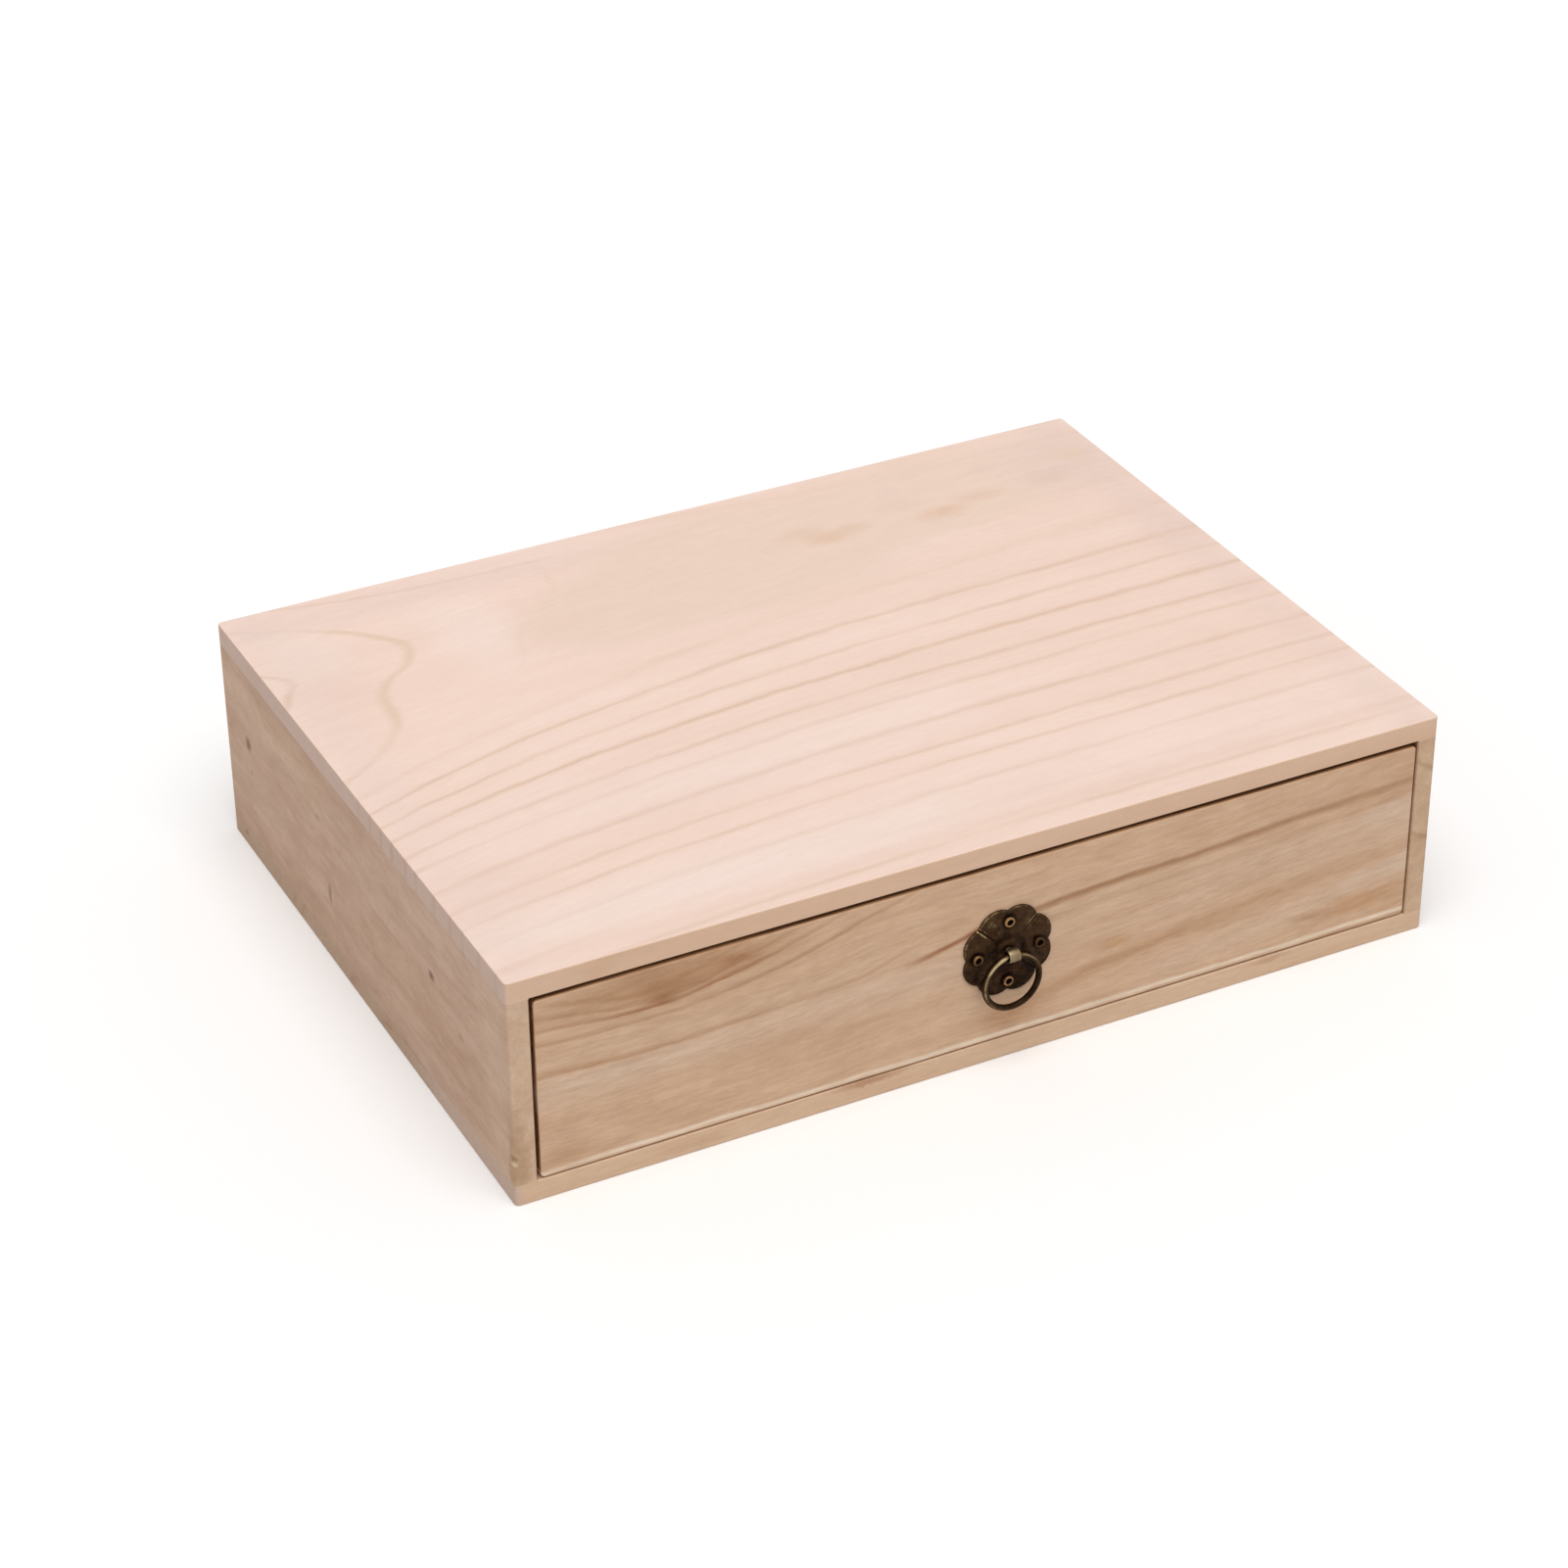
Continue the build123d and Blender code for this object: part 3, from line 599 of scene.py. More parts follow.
board_drawer_front = {
    "seed": 83,
    "turn": LONG_GRAIN_X,
    "drift": 2.4,
    "wobble": 1.0,
    "pith": [(-160, -150, 180), (-60, -150, 170), (160, -150, 190)],
    "rings": plain_rings(12.1, 19),
    "late_shape": SOFT_LATE_WOOD,
    "late_tone": "f6ede4",
    "faintest": 0.0,
    "tone": "e5c3a4",
    # The top and end edges are darkened as painted shade, for the shaded gaps round the drawer front
    "faces": [((0, 0, 1), "c59a72"), ((-1, 0, 0), "c59a72"), ((1, 0, 0), "c59a72")],
    "flow": [(-160, 0), (-100, 0), (-60, 3), (-30, 6), (18, 6), (160, 14)],
    "flow_axis": (0, 0, 1),
    "slow": 0.4,
    "slow_tone": "f1e2d6",
    "fibre": 0.16,
    "fleck": 0.12,
    "mottle": 0.15,
    "pores": 0.08,
    "streaks": [
        # Painted shade: dark brown over the first few mm of the edges behind the face, for the shaded gaps
        # round the drawer front
        {
            "axes": "XY", "below": 1.2, "above": 2.4, "colour": "6f4b2e",
            "points": [(-160, -120.0, 0.9), (160, -120.0, 0.9)],
        },
        {
            "axes": "XZ", "below": 11, "above": 7, "colour": "ecd2b9",
            "points": [(-160, 39, 0.2), (-122, 39, 0.65), (-78, 40, 0.5), (-32, 40, 0.6), (4, 40, 0.2)],
        },
        {
            "axes": "XZ", "below": 14, "above": 9, "colour": "ecd2b9",
            "points": [(60, 47, 0.15), (98, 48, 0.4), (128, 49, 0.4), (144, 50, 0.65), (160, 50, 0.75)],
        },
        {
            "axes": "XZ", "below": 8, "above": 7, "colour": "ecd2b9",
            "points": [(52, 18, 0), (82, 19, 0.55), (120, 23, 0.55), (138, 27, 0.65), (160, 30, 0.85)],
        },
        {
            "axes": "XZ", "below": 0.9, "above": 2.0, "colour": "b27f58",
            "points": [
                (-160, 62, 0.25), (-147, 61.2, 0.4), (-130, 59.2, 0.65), (-116, 58.8, 0.95),
                (-107, 59.3, 0.7), (-98, 61, 0.9), (-90.5, 62.2, 0.95), (-78.5, 64.8, 0.6),
                (-68, 68, 0.4), (-57, 71, 0.3), (-46, 74.4, 0.1),
            ],
        },
        {
            "axes": "XZ", "below": 0.9, "above": 2.4, "colour": "bb8c66",
            "points": [
                (-160, 67, 0.3), (-150, 65.4, 0.4), (-134, 62.8, 0.5), (-124, 61.4, 0.5), (-114, 61, 0.5),
                (-102, 62.4, 0.6), (-95, 64.2, 0.6), (-85, 67.2, 0.5), (-75, 70, 0.3), (-66, 72.6, 0.1),
            ],
        },
        {
            "axes": "XZ", "below": 0.9, "above": 2.2, "colour": "bf9069",
            "points": [
                (-158, 71, 0.1), (-147, 68.9, 0.4), (-135, 66.8, 0.45), (-120, 64.4, 0.5),
                (-108, 66, 0.4), (-96, 69.6, 0.4), (-84, 73.6, 0.1),
            ],
        },
        {
            "axes": "XZ", "below": 1.1, "above": 1.9, "colour": "bd9069",
            "points": [
                (-160, 57.2, 0.55), (-144, 55.8, 0.6), (-124, 55.3, 0.5), (-108, 55.2, 0.5),
                (-96, 56.1, 0.5), (-85.6, 57.9, 0.5), (-71.4, 60.8, 0.6), (-61.5, 63.3, 0.6),
                (-43, 68.6, 0.5), (-32, 71.4, 0.4), (-24, 74, 0.2),
            ],
        },
        {
            "axes": "XZ", "below": 1.0, "above": 2.2, "colour": "bf8f69",
            "points": [
                (-160, 44.4, 0.5), (-148, 44.5, 0.5), (-132, 43.3, 0.6), (-105, 43.5, 0.5),
                (-86, 44.5, 0.4), (-69, 45.2, 0.3), (-54, 45.9, 0.35), (-43, 47.7, 0.4),
                (-32, 51, 0.3), (-20, 54, 0.1),
            ],
        },
        {
            "axes": "XZ", "below": 1.7, "above": 1.9, "colour": "ab734d",
            "points": [
                (-33, 45.9, 0), (-27, 46.5, 0.5), (-20, 47.6, 0.9), (-12, 49.4, 0.95), (-4, 52.4, 0.8),
                (2, 54.2, 0),
            ],
        },
        {
            "axes": "XZ", "below": 2.6, "above": 1.8, "colour": "b4865f",
            "points": [
                (8, 52, 0), (18, 53.6, 0.8), (37, 55, 0.9), (58, 55.8, 0.85), (80, 56.6, 0.8),
                (111, 58.8, 0.7), (133, 59.6, 0.6), (160, 61.4, 0.45),
            ],
        },
        {
            "axes": "XZ", "below": 2.5, "above": 1.5, "colour": "c9a07c",
            "points": [(15, 48, 0), (26.5, 49, 0.4), (90, 52, 0.25), (160, 55.4, 0.2)],
        },
        {
            "axes": "XZ", "below": 4.5, "above": 4.5, "colour": "c89a71",
            "points": [
                (14, 21, 0), (26.5, 22.6, 0.55), (55, 26.5, 0.6), (90, 30.5, 0.5), (125, 34, 0.3),
                (160, 37, 0.1),
            ],
        },
        # Painted highlight: a pale strip along the foot of the face, as light caught by the lower arris
        {
            "axes": "XZ", "below": 1.6, "above": 1.5, "colour": "ffebd2",
            "points": [(-160, 9.6, 0.9), (0, 9.9, 1.0), (160, 10.3, 1.0)],
        },
        # Painted shade: a brown line along the lower arris, for the gap above the case bottom, strongest at
        # the right
        {
            "axes": "XZ", "below": 1.2, "above": 0.5, "colour": "a0764f",
            "points": [(-160, 8.1, 0.0), (0, 8.3, 0.1), (160, 8.6, 0.4)],
        },
    ],
    "patches": [
        ((-110, FRONT, 68), (54, 40, 10), 0.3, 0.7, "c1946d", "ragged"),
        ((-112, FRONT, 64.5), (16, 40, 7), 0.1, 0.5, "b4855e", "ragged"),
        ((-115, FRONT, 61), (8, 40, 3), 0.1, 0.6, "a8754d", "ragged"),
        ((-89, FRONT, 67), (11, 40, 3.2), 0.0, 0.7, "b5805b", "ragged"),
        ((-147, FRONT, 14), (18, 40, 9), 0.0, 0.5, "c89f7b", "ragged"),
        # Painted shadow: a warmer, darker spot on the face below the ring
        ((7, FRONT, 17), (17, 40, 8), 0.2, 0.5, "cf9c6d", "ragged"),
        ((45, FRONT, 31.5), (11, 40, 3.4), 0.0, 0.5, "cd9b69", "ragged"),
        ((140, FRONT, 18), (26, 40, 5.5), 0.0, 0.6, "cf9f73", "ragged"),
        ((118, FRONT, 19), (12, 40, 3.0), 0.0, 0.45, "bf9270", "ragged"),
    ],
}
board_drawer_side = {
    **board_case_side,
    "tone": "debe9f",
    "faces": [((0, -1, 0), "d5b597"), ((0, 1, 0), "d5b597")],
}
board_drawer_left = {**board_drawer_side, "seed": 97, "pith": [(-125, 100, -60), (125, 118, -70)]}
board_drawer_right = {**board_drawer_side, "seed": 101, "pith": [(-125, -190, 120), (125, -200, 135)]}
board_drawer_back = {
    **board_case_bottom,
    "seed": 113,
    "tone": "debe9f",
    "pith": [(-165, 60, 130), (165, 40, 142)],
    "patches": (),
}

boards = {
    "case_top": board_case_top,
    "case_bottom": board_case_bottom,
    "case_left_side": board_case_left,
    "case_right_side": board_case_right,
    "case_back": board_case_back,
    "drawer_front": board_drawer_front,
    "drawer_left_side": board_drawer_left,
    "drawer_right_side": board_drawer_right,
    "drawer_back": board_drawer_back,
}


def dress(node, material):
    """Give a node of the CAD model its material."""
    nodes[node].data.materials.clear()
    nodes[node].data.materials.append(material)


for node, board in boards.items():
    dress(node, paulownia(f"sanded_paulownia_{node}", board))


def poplar_plywood():
    """Thin poplar plywood, peeled veneer: flat straw tone with long soft flames and no pores to see."""
    material, tree = start_material("peeled_poplar_plywood")
    coordinates = add(tree, "ShaderNodeTexCoord")
    grain = add(
        tree,
        "ShaderNodeMapping",
        {"Vector": coordinates.outputs["Object"], "Scale": (1 / MM,) * 3},
    )
    flame = add(
        tree,
        "ShaderNodeMapRange",
        {
            "Value": fibres(tree, grain, length=220, width=26, seed=5, detail=4.0),
            "From Min": 0.35, "From Max": 0.65,
        },
        interpolation_type="SMOOTHSTEP",
    )
    tone = add(
        tree,
        "ShaderNodeMix",
        {0: flame, 1: colour("e6cfae"), 2: colour("d8bb94")},
        data_type="RGBA",
    )
    fibre = fibres(tree, grain, length=30, width=1.2, seed=9)
    fine = add(
        tree,
        "ShaderNodeMapRange",
        {"Value": fibre, "From Min": 0.3, "From Max": 0.7, "To Max": 0.14},
        interpolation_type="SMOOTHSTEP",
    )
    tone = add(
        tree,
        "ShaderNodeMix",
        {0: fine, 1: tone, 2: colour("9a7a58")},
        data_type="RGBA",
        blend_type="MULTIPLY",
    )
    bump = add(tree, "ShaderNodeBump", {"Strength": 0.3, "Distance": 0.08 * MM, "Height": fibre})
    shader = add(
        tree,
        "ShaderNodeBsdfPrincipled",
        {"Base Color": tone, "Roughness": 0.6, "Normal": bump, "IOR": 1.5, "Specular IOR Level": 0.3},
    )
    add(tree, "ShaderNodeOutputMaterial", {"Surface": shader})
    return material


dress("drawer_bottom", poplar_plywood())


def drawn_steel():
    """Bright drawn steel wire: a cool grey metal with fine scratches, drawn 0.25 mm apart to show."""
    material, tree = start_material("drawn_steel_wire")
    coordinates = add(tree, "ShaderNodeTexCoord")
    scratches = add(
        tree,
        "ShaderNodeTexNoise",
        {"Vector": coordinates.outputs["Object"], "Scale": 1 / (0.25 * MM), "Detail": 2.0},
    )
    rough = add(
        tree,
        "ShaderNodeMapRange",
        {"Value": scratches, "From Min": 0.3, "From Max": 0.7, "To Min": 0.25, "To Max": 0.45},
        interpolation_type="SMOOTHSTEP",
    )
    shader = add(
        tree,
        "ShaderNodeBsdfPrincipled",
        {"Base Color": colour("a2a2a4"), "Metallic": 1.0, "Roughness": rough},
    )
    add(tree, "ShaderNodeOutputMaterial", {"Surface": shader})
    return material


steel = drawn_steel()
for node in (
    "case_top_brads", "case_bottom_brads", "case_back_brads",
    "drawer_front_brads", "drawer_back_brads", "drawer_bottom_brads",
):
    dress(node, steel)

# The pull's map of wear and painted light runs from 0 or less, dirt in a hollow or painted shadow,
# over PLAIN patina to 1, rubbed metal or a painted highlight
PLAIN = 0.4


def antique_bronze(name, hollow, patina, rubbed, mottling):
    """Stamped brass, darkened chemically and then rubbed back, under no lacquer.

    It gives the eye a brown-black metal, dull and clouded every 2 mm or so, darkest in its hollows
    and in the shadows painted on the piece's own map, with a golden olive sheen where that map says
    that edges and crowns were rubbed, and where it paints highlights and reflections.
    """
    material, tree = start_material(name)
    coordinates = add(tree, "ShaderNodeTexCoord")
    wear = add(tree, "ShaderNodeAttribute", attribute_name="wear_and_painted_light")
    cloud = add(
        tree,
        "ShaderNodeTexNoise",
        {"Vector": coordinates.outputs["Object"], "Scale": 1 / (2.2 * MM), "Detail": 4.0, "Roughness": 0.65},
    )
    mottled = add(tree, "ShaderNodeMath", {0: cloud, 1: 0.5}, operation="SUBTRACT")
    broken = add(
        tree,
        "ShaderNodeMath",
        {0: mottled, 1: mottling, 2: wear.outputs["Fac"]},
        operation="MULTIPLY_ADD",
    )
    darkened = add(
        tree,
        "ShaderNodeMapRange",
        {"Value": broken, "From Min": 0.0, "From Max": 0.55},
        interpolation_type="SMOOTHSTEP",
    )
    tone = add(
        tree,
        "ShaderNodeMix",
        {0: darkened, 1: colour(hollow), 2: colour(patina)},
        data_type="RGBA",
    )
    bared = add(
        tree,
        "ShaderNodeMapRange",
        {"Value": broken, "From Min": 0.5, "From Max": 1.1},
        interpolation_type="SMOOTHSTEP",
    )
    tone = add(tree, "ShaderNodeMix", {0: bared, 1: tone, 2: colour(rubbed)}, data_type="RGBA")
    rough = add(
        tree,
        "ShaderNodeMapRange",
        {"Value": bared, "To Min": 0.5, "To Max": 0.34},
    )
    bump = add(tree, "ShaderNodeBump", {"Strength": 0.3, "Distance": 0.06 * MM, "Height": cloud})
    shader = add(
        tree,
        "ShaderNodeBsdfPrincipled",
        {"Base Color": tone, "Metallic": 1.0, "Roughness": rough, "Normal": bump},
    )
    add(tree, "ShaderNodeOutputMaterial", {"Surface": shader})
    return material


plate_bronze = antique_bronze("antique_bronze_plate", "20120a", "44301f", "9a875c", 1.2)
ring_bronze = antique_bronze("antique_bronze_wire", "1c120a", "4a3520", "b5a07a", 0.6)
# The eye is a paler copy of the plate's bronze, a painted highlight for its lit band
eye_bronze_painted_highlight = antique_bronze("antique_bronze_eye_painted_highlight", "241a10", "6a573f", "c6b28e", 0.6)
screw_brass = antique_bronze("rubbed_brass_screws", "20130a", "4c3521", "9f7a50", 1.5)

# The pull is worked out on its own axes: u to the right, v up, and w out of the drawer's face
plate_low, plate_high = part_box("pull_backplate")
_, post_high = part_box("pull_post")
_, screws_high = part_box("pull_screws")
pull_centre = Vector(((plate_low.x + plate_high.x) / 2, plate_high.y, (plate_low.z + plate_high.z) / 2))
LOBES = 8
NOTCH_RADIUS = 14.8
CREST_RADIUS = 16.4
PLATE_THICKNESS = 0.9
BOSS_HEIGHT = 0.5
SCREW_CIRCLE = 11.1
PIVOT_OUT = 3.857
EYE_RADIUS = 2.257
EYE_WALL = 0.85
EYE_WIDTH = 4.0
RING_RADIUS = 9.75
WIRE_RADIUS = 1.05
# Slopes of the plate's relief, each from one distance to another, and heights, widths and depths
BOSS_SLOPE = (2.6, 5.2)
PETAL_SLOPE = (5.5, 12.0)
PETAL_SWELL = 0.3
VALLEY_DEPTH = 0.24
SCREW_PAD_SLOPE = (2.1, 3.6)
GROOVE_START = (6.2, 8.0)
GROOVE_DEPTH = 0.3
GROOVE_HALF_WIDTH = 0.3
RIM_ROUNDING = 0.35
BAND_ROUNDING = 0.28
BAND_CROWN = 0.08
# Grid lines of the surfaces, enough that no outline shows a corner
RAYS_IN_A_LOBE = 48
RINGS_ON_PLATE = 64
STEPS_OVER_RIM = 6
STEPS_ROUND_SCREW = 40
STEPS_ROUND_STEM = 32
STEPS_IN_A_CORNER = 10
STEPS_ACROSS_BAND = 9
STEPS_ROUND_EYE = 72
STEPS_ROUND_RING = 128
STEPS_ROUND_WIRE = 28
# A corner sharper than this is drawn as a crisp arris
SHARP_ARRIS = radians(38)
# Points that share one step of this grid, a ten-thousandth of a millimetre, are one point
STEPS_IN_A_METRE = 1e7


def smooth(value, low, high):
    """A smooth step from 0 up to low to 1 from high on, for arrays."""
    share = np.clip((value - low) / (high - low), 0, 1)
    return share * share * (3 - 2 * share)


def near(value, middle, width):
    """A soft bump: 1 where the value is at the middle, fading to nothing over about twice the width."""
    return np.exp(-(((value - middle) / width) ** 2))


def on_drawer(u, v, w):
    """Points of the pull, in mm on its own axes, to the drawer's place in metres."""
    return np.stack([pull_centre.x + u * MM, pull_centre.y - w * MM, pull_centre.z + v * MM], axis=-1)


def skin(points, wear_and_painted_light, wrap_rows=False):
    """Triangles of a grid of points. Its columns close to a ring, and its rows where wrap_rows says so.

    Equal points become one, so seams and poles close, and the winding is turned to face outwards.
    """
    rows, columns = points.shape[:2]
    row = np.arange(rows if wrap_rows else rows - 1)[:, None]
    column = np.arange(columns)[None, :]
    next_row = (row + 1) % rows * columns
    next_column = (column + 1) % columns
    row = row * columns
    corners = [row + column, next_row + column, next_row + next_column, row + next_column]
    quads = np.stack([corner.ravel() for corner in corners], axis=1)
    flat = points.reshape(-1, 3)
    steps = np.round(flat * STEPS_IN_A_METRE).astype(np.int64)
    _, first, same = np.unique(steps, axis=0, return_index=True, return_inverse=True)
    quads = same.ravel()[quads]
    triangles = np.concatenate([quads[:, [0, 1, 2]], quads[:, [0, 2, 3]]])
    real = (triangles != np.roll(triangles, 1, axis=1)).all(axis=1)
    triangles = triangles[real]
    vertices = flat[first]
    one, two, three = (vertices - vertices.mean(axis=0))[triangles].transpose(1, 0, 2)
    six_times_volume = np.einsum("ij,ij->", one, np.cross(two, three))
    if six_times_volume < 0:
        triangles = triangles[:, ::-1]
    return vertices, triangles, np.broadcast_to(wear_and_painted_light, points.shape[:2]).reshape(-1)[first]


def make_piece(name, skins, material, body, replaced):
    """Join closed skins into one piece that rides on a body and stands for a CAD node."""
    starts = np.cumsum([0] + [len(vertices) for vertices, _, _ in skins])
    vertices = np.concatenate([own for own, _, _ in skins])
    triangles = np.concatenate([own + start for (_, own, _), start in zip(skins, starts)])
    wear = np.concatenate([own for _, _, own in skins])
    mesh = bpy.data.meshes.new(name)
    mesh.from_pydata(vertices, [], triangles)
    wear_and_painted_light = mesh.attributes.new("wear_and_painted_light", "FLOAT", "POINT")
    wear_and_painted_light.data.foreach_set("value", wear.astype(np.float32))
    mesh.shade_smooth()
    mesh.set_sharp_from_angle(angle=SHARP_ARRIS)
    mesh.materials.append(material)
    piece = bpy.data.objects.new(name, mesh)
    bpy.context.scene.collection.objects.link(piece)
    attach(piece, body)
    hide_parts(replaced)


def turned(profile, steps, centre=(0.0, 0.0)):
    """A turned part: each point (radius, height, wear and painted light) goes once round an axis that stands
    on the face.
    """
    angle = np.linspace(0, 2 * pi, steps, endpoint=False)
    radius, height, wear_and_painted_light = np.array(profile, float).T[:, :, None]
    u = centre[0] + radius * np.cos(angle)
    v = centre[1] + radius * np.sin(angle)
    return skin(on_drawer(u, v, height + 0 * angle), wear_and_painted_light)


def rim_radius(angle):
    """Distance of the plate's rim from its middle: each lobe is an arc, notch to notch over its crest.

    The arc's centre lies on the lobe's axis, where notch and crest are equally far from it.
    """
    half = pi / LOBES
    across = angle % (2 * half) - half
    centre = (CREST_RADIUS**2 - NOTCH_RADIUS**2) / (2 * (CREST_RADIUS - NOTCH_RADIUS * np.cos(half)))
    arc = CREST_RADIUS - centre
    return centre * np.cos(across) + np.sqrt(arc**2 - (centre * np.sin(across)) ** 2)


# Wear of the four grooves' lips, with a painted highlight on the upper two, from the upper right one
# round to the lower right one
GROOVE_WEAR_AND_HIGHLIGHT = np.array([0.6, 0.8, 0.1, 0.1])


def plate_relief(angle, radius):
    """Height, and map of wear and painted light, of the plate's front at a place.

    Height: a smooth boss in the middle, petals that swell between their notches, a valley in line
    with each notch, flat pads under the screws, and an engraved groove in every second valley.
    Wear and painted light: grime in the valleys and round the boss, a painted shadow round the
    screws, a little rubbing on each petal, bare metal on the outer ends of the upper grooves, with a
    painted highlight there too, and a painted highlight on the rubbed rim at the upper left. The
    lower half, which the ring covers, is the darkest.
    """
    half = pi / LOBES
    across = (angle % (2 * half) - half) / half
    petal = np.cos(across * pi / 2) ** 0.7
    outer = smooth(radius, *PETAL_SLOPE)
    nearest = np.round(angle / (pi / 2)) * pi / 2
    from_screw = np.hypot(
        radius * np.cos(angle) - SCREW_CIRCLE * np.cos(nearest),
        radius * np.sin(angle) - SCREW_CIRCLE * np.sin(nearest),
    )
    free = smooth(from_screw, *SCREW_PAD_SLOPE)
    quarter = np.floor(angle / (pi / 2)).astype(int) % 4
    groove = (quarter + 0.5) * pi / 2
    beside = radius * np.sin(angle - groove)
    along = smooth(radius, *GROOVE_START)
    height = (
        PLATE_THICKNESS
        + outer * free * (PETAL_SWELL * petal - VALLEY_DEPTH)
        + BOSS_HEIGHT * (1 - smooth(radius, *BOSS_SLOPE))
        - GROOVE_DEPTH * along * near(beside, 0, GROOVE_HALF_WIDTH)
    )
    rubbed_petals = 0.14 * outer * (petal - 0.6)
    dirt_round_boss = 0.22 * near(radius, BOSS_SLOPE[1], 1.3)
    # Painted shadow: a dark ring round each screw head
    painted_shadow_round_screws = 0.3 * near(from_screw, 2.3, 0.5)
    dirt_in_grooves = 0.3 * along * near(beside, 0, 0.25)
    dark_lower_half = 0.2 * smooth(-radius * np.sin(angle), 1.0, 7.0)
    lips = near(beside, 0.55, 0.25) + 0.5 * near(beside, -0.55, 0.25)
    lips_wear_and_highlight = GROOVE_WEAR_AND_HIGHLIGHT[quarter] * smooth(radius, 9.4, 11.5) * lips
    # Rubbed rim with a painted highlight, strongest towards the upper left, where the light falls
    towards_the_light = 0.5 + 0.5 * np.cos(angle - radians(150))
    rim_wear_and_highlight = 0.5 * near(rim_radius(angle) - radius, 0, 0.4) * towards_the_light
    dirt_and_painted_shadow = dirt_round_boss + painted_shadow_round_screws + dirt_in_grooves + dark_lower_half
    return height, PLAIN + rubbed_petals + lips_wear_and_highlight + rim_wear_and_highlight - dirt_and_painted_shadow


def flower_plate():
    """The backplate: rays from the middle to the rim, over a rounded edge and back underneath."""
    edge = RIM_ROUNDING
    angle = np.linspace(0, 2 * pi, LOBES * RAYS_IN_A_LOBE, endpoint=False)[None, :]
    rim = rim_radius(angle)
    share = np.linspace(0, 1, RINGS_ON_PLATE)[:, None]
    front_radius = share * (rim - edge)
    # The front's map holds wear and painted light, as plate_relief gives it
    front_height, front_worn = plate_relief(angle + 0 * share, front_radius)
    turn = np.linspace(0, pi / 2, STEPS_OVER_RIM)[1:, None]
    edge_radius = rim - edge * (1 - np.sin(turn))
    edge_height = front_height[-1:] - edge * (1 - np.cos(turn))
    edge_worn = front_worn[-1:] + 0 * turn
    # Underneath: a shallow bevel from the rim, and then flat to the middle
    back_radius = np.array([1.0, 0.93, 0.0])[:, None] * rim
    back_height = np.array([0.12, 0.0, 0.0])[:, None] + 0 * rim
    back_worn = np.array([PLAIN, PLAIN, 0.0])[:, None] + 0 * rim
    radius = np.concatenate([front_radius, edge_radius, back_radius])
    height = np.concatenate([front_height, edge_height, back_height])
    wear_and_painted_light = np.concatenate([front_worn, edge_worn, back_worn])
    u, v = radius * np.cos(angle), radius * np.sin(angle)
    return skin(on_drawer(u, v, height), wear_and_painted_light)


# Rubbed wear and painted highlight of the four screw heads: right, top, left and bottom, and the dark
# inside of their sockets
SCREW_WEAR_AND_HIGHLIGHT = (0.0, 0.95, 0.65, 0.9)
SOCKET_DIRT = -0.4


def screw_skins():
    """Four round screws: a rolled head with a deep dark socket, and a shank that ends in a point.

    All four are one profile, turned about its own axis. Only the wear and painted highlight of the heads
    differ.
    """
    tip = (screws_high.y - pull_centre.y) / MM
    top = PLATE_THICKNESS
    skins = []
    for number, wear_and_highlight in enumerate(SCREW_WEAR_AND_HIGHLIGHT):
        crown = PLAIN + wear_and_highlight * (1 - PLAIN)
        shoulder = PLAIN + wear_and_highlight * (0.6 - PLAIN)
        profile = [
            (0.0, top + 0.1, SOCKET_DIRT), (0.76, top + 0.1, SOCKET_DIRT), (0.88, top + 0.35, SOCKET_DIRT),
            (0.96, top + 0.8, -0.1), (1.08, top + 1.06, shoulder), (1.26, top + 1.18, crown),
            (1.46, top + 1.18, crown), (1.68, top + 1.05, crown), (1.86, top + 0.75, shoulder),
            (1.96, top + 0.4, 0.2), (2.0, top, 0.0), (0.9, top - 0.02, 0.0), (0.9, -tip + 0.6, 0.0),
            (0.3, -tip, 0.0), (0.0, -tip, 0.0),
        ]
        place = number * pi / 2
        centre = (SCREW_CIRCLE * cos(place), SCREW_CIRCLE * sin(place))
        skins.append(turned(profile, STEPS_ROUND_SCREW, centre))
    return skins


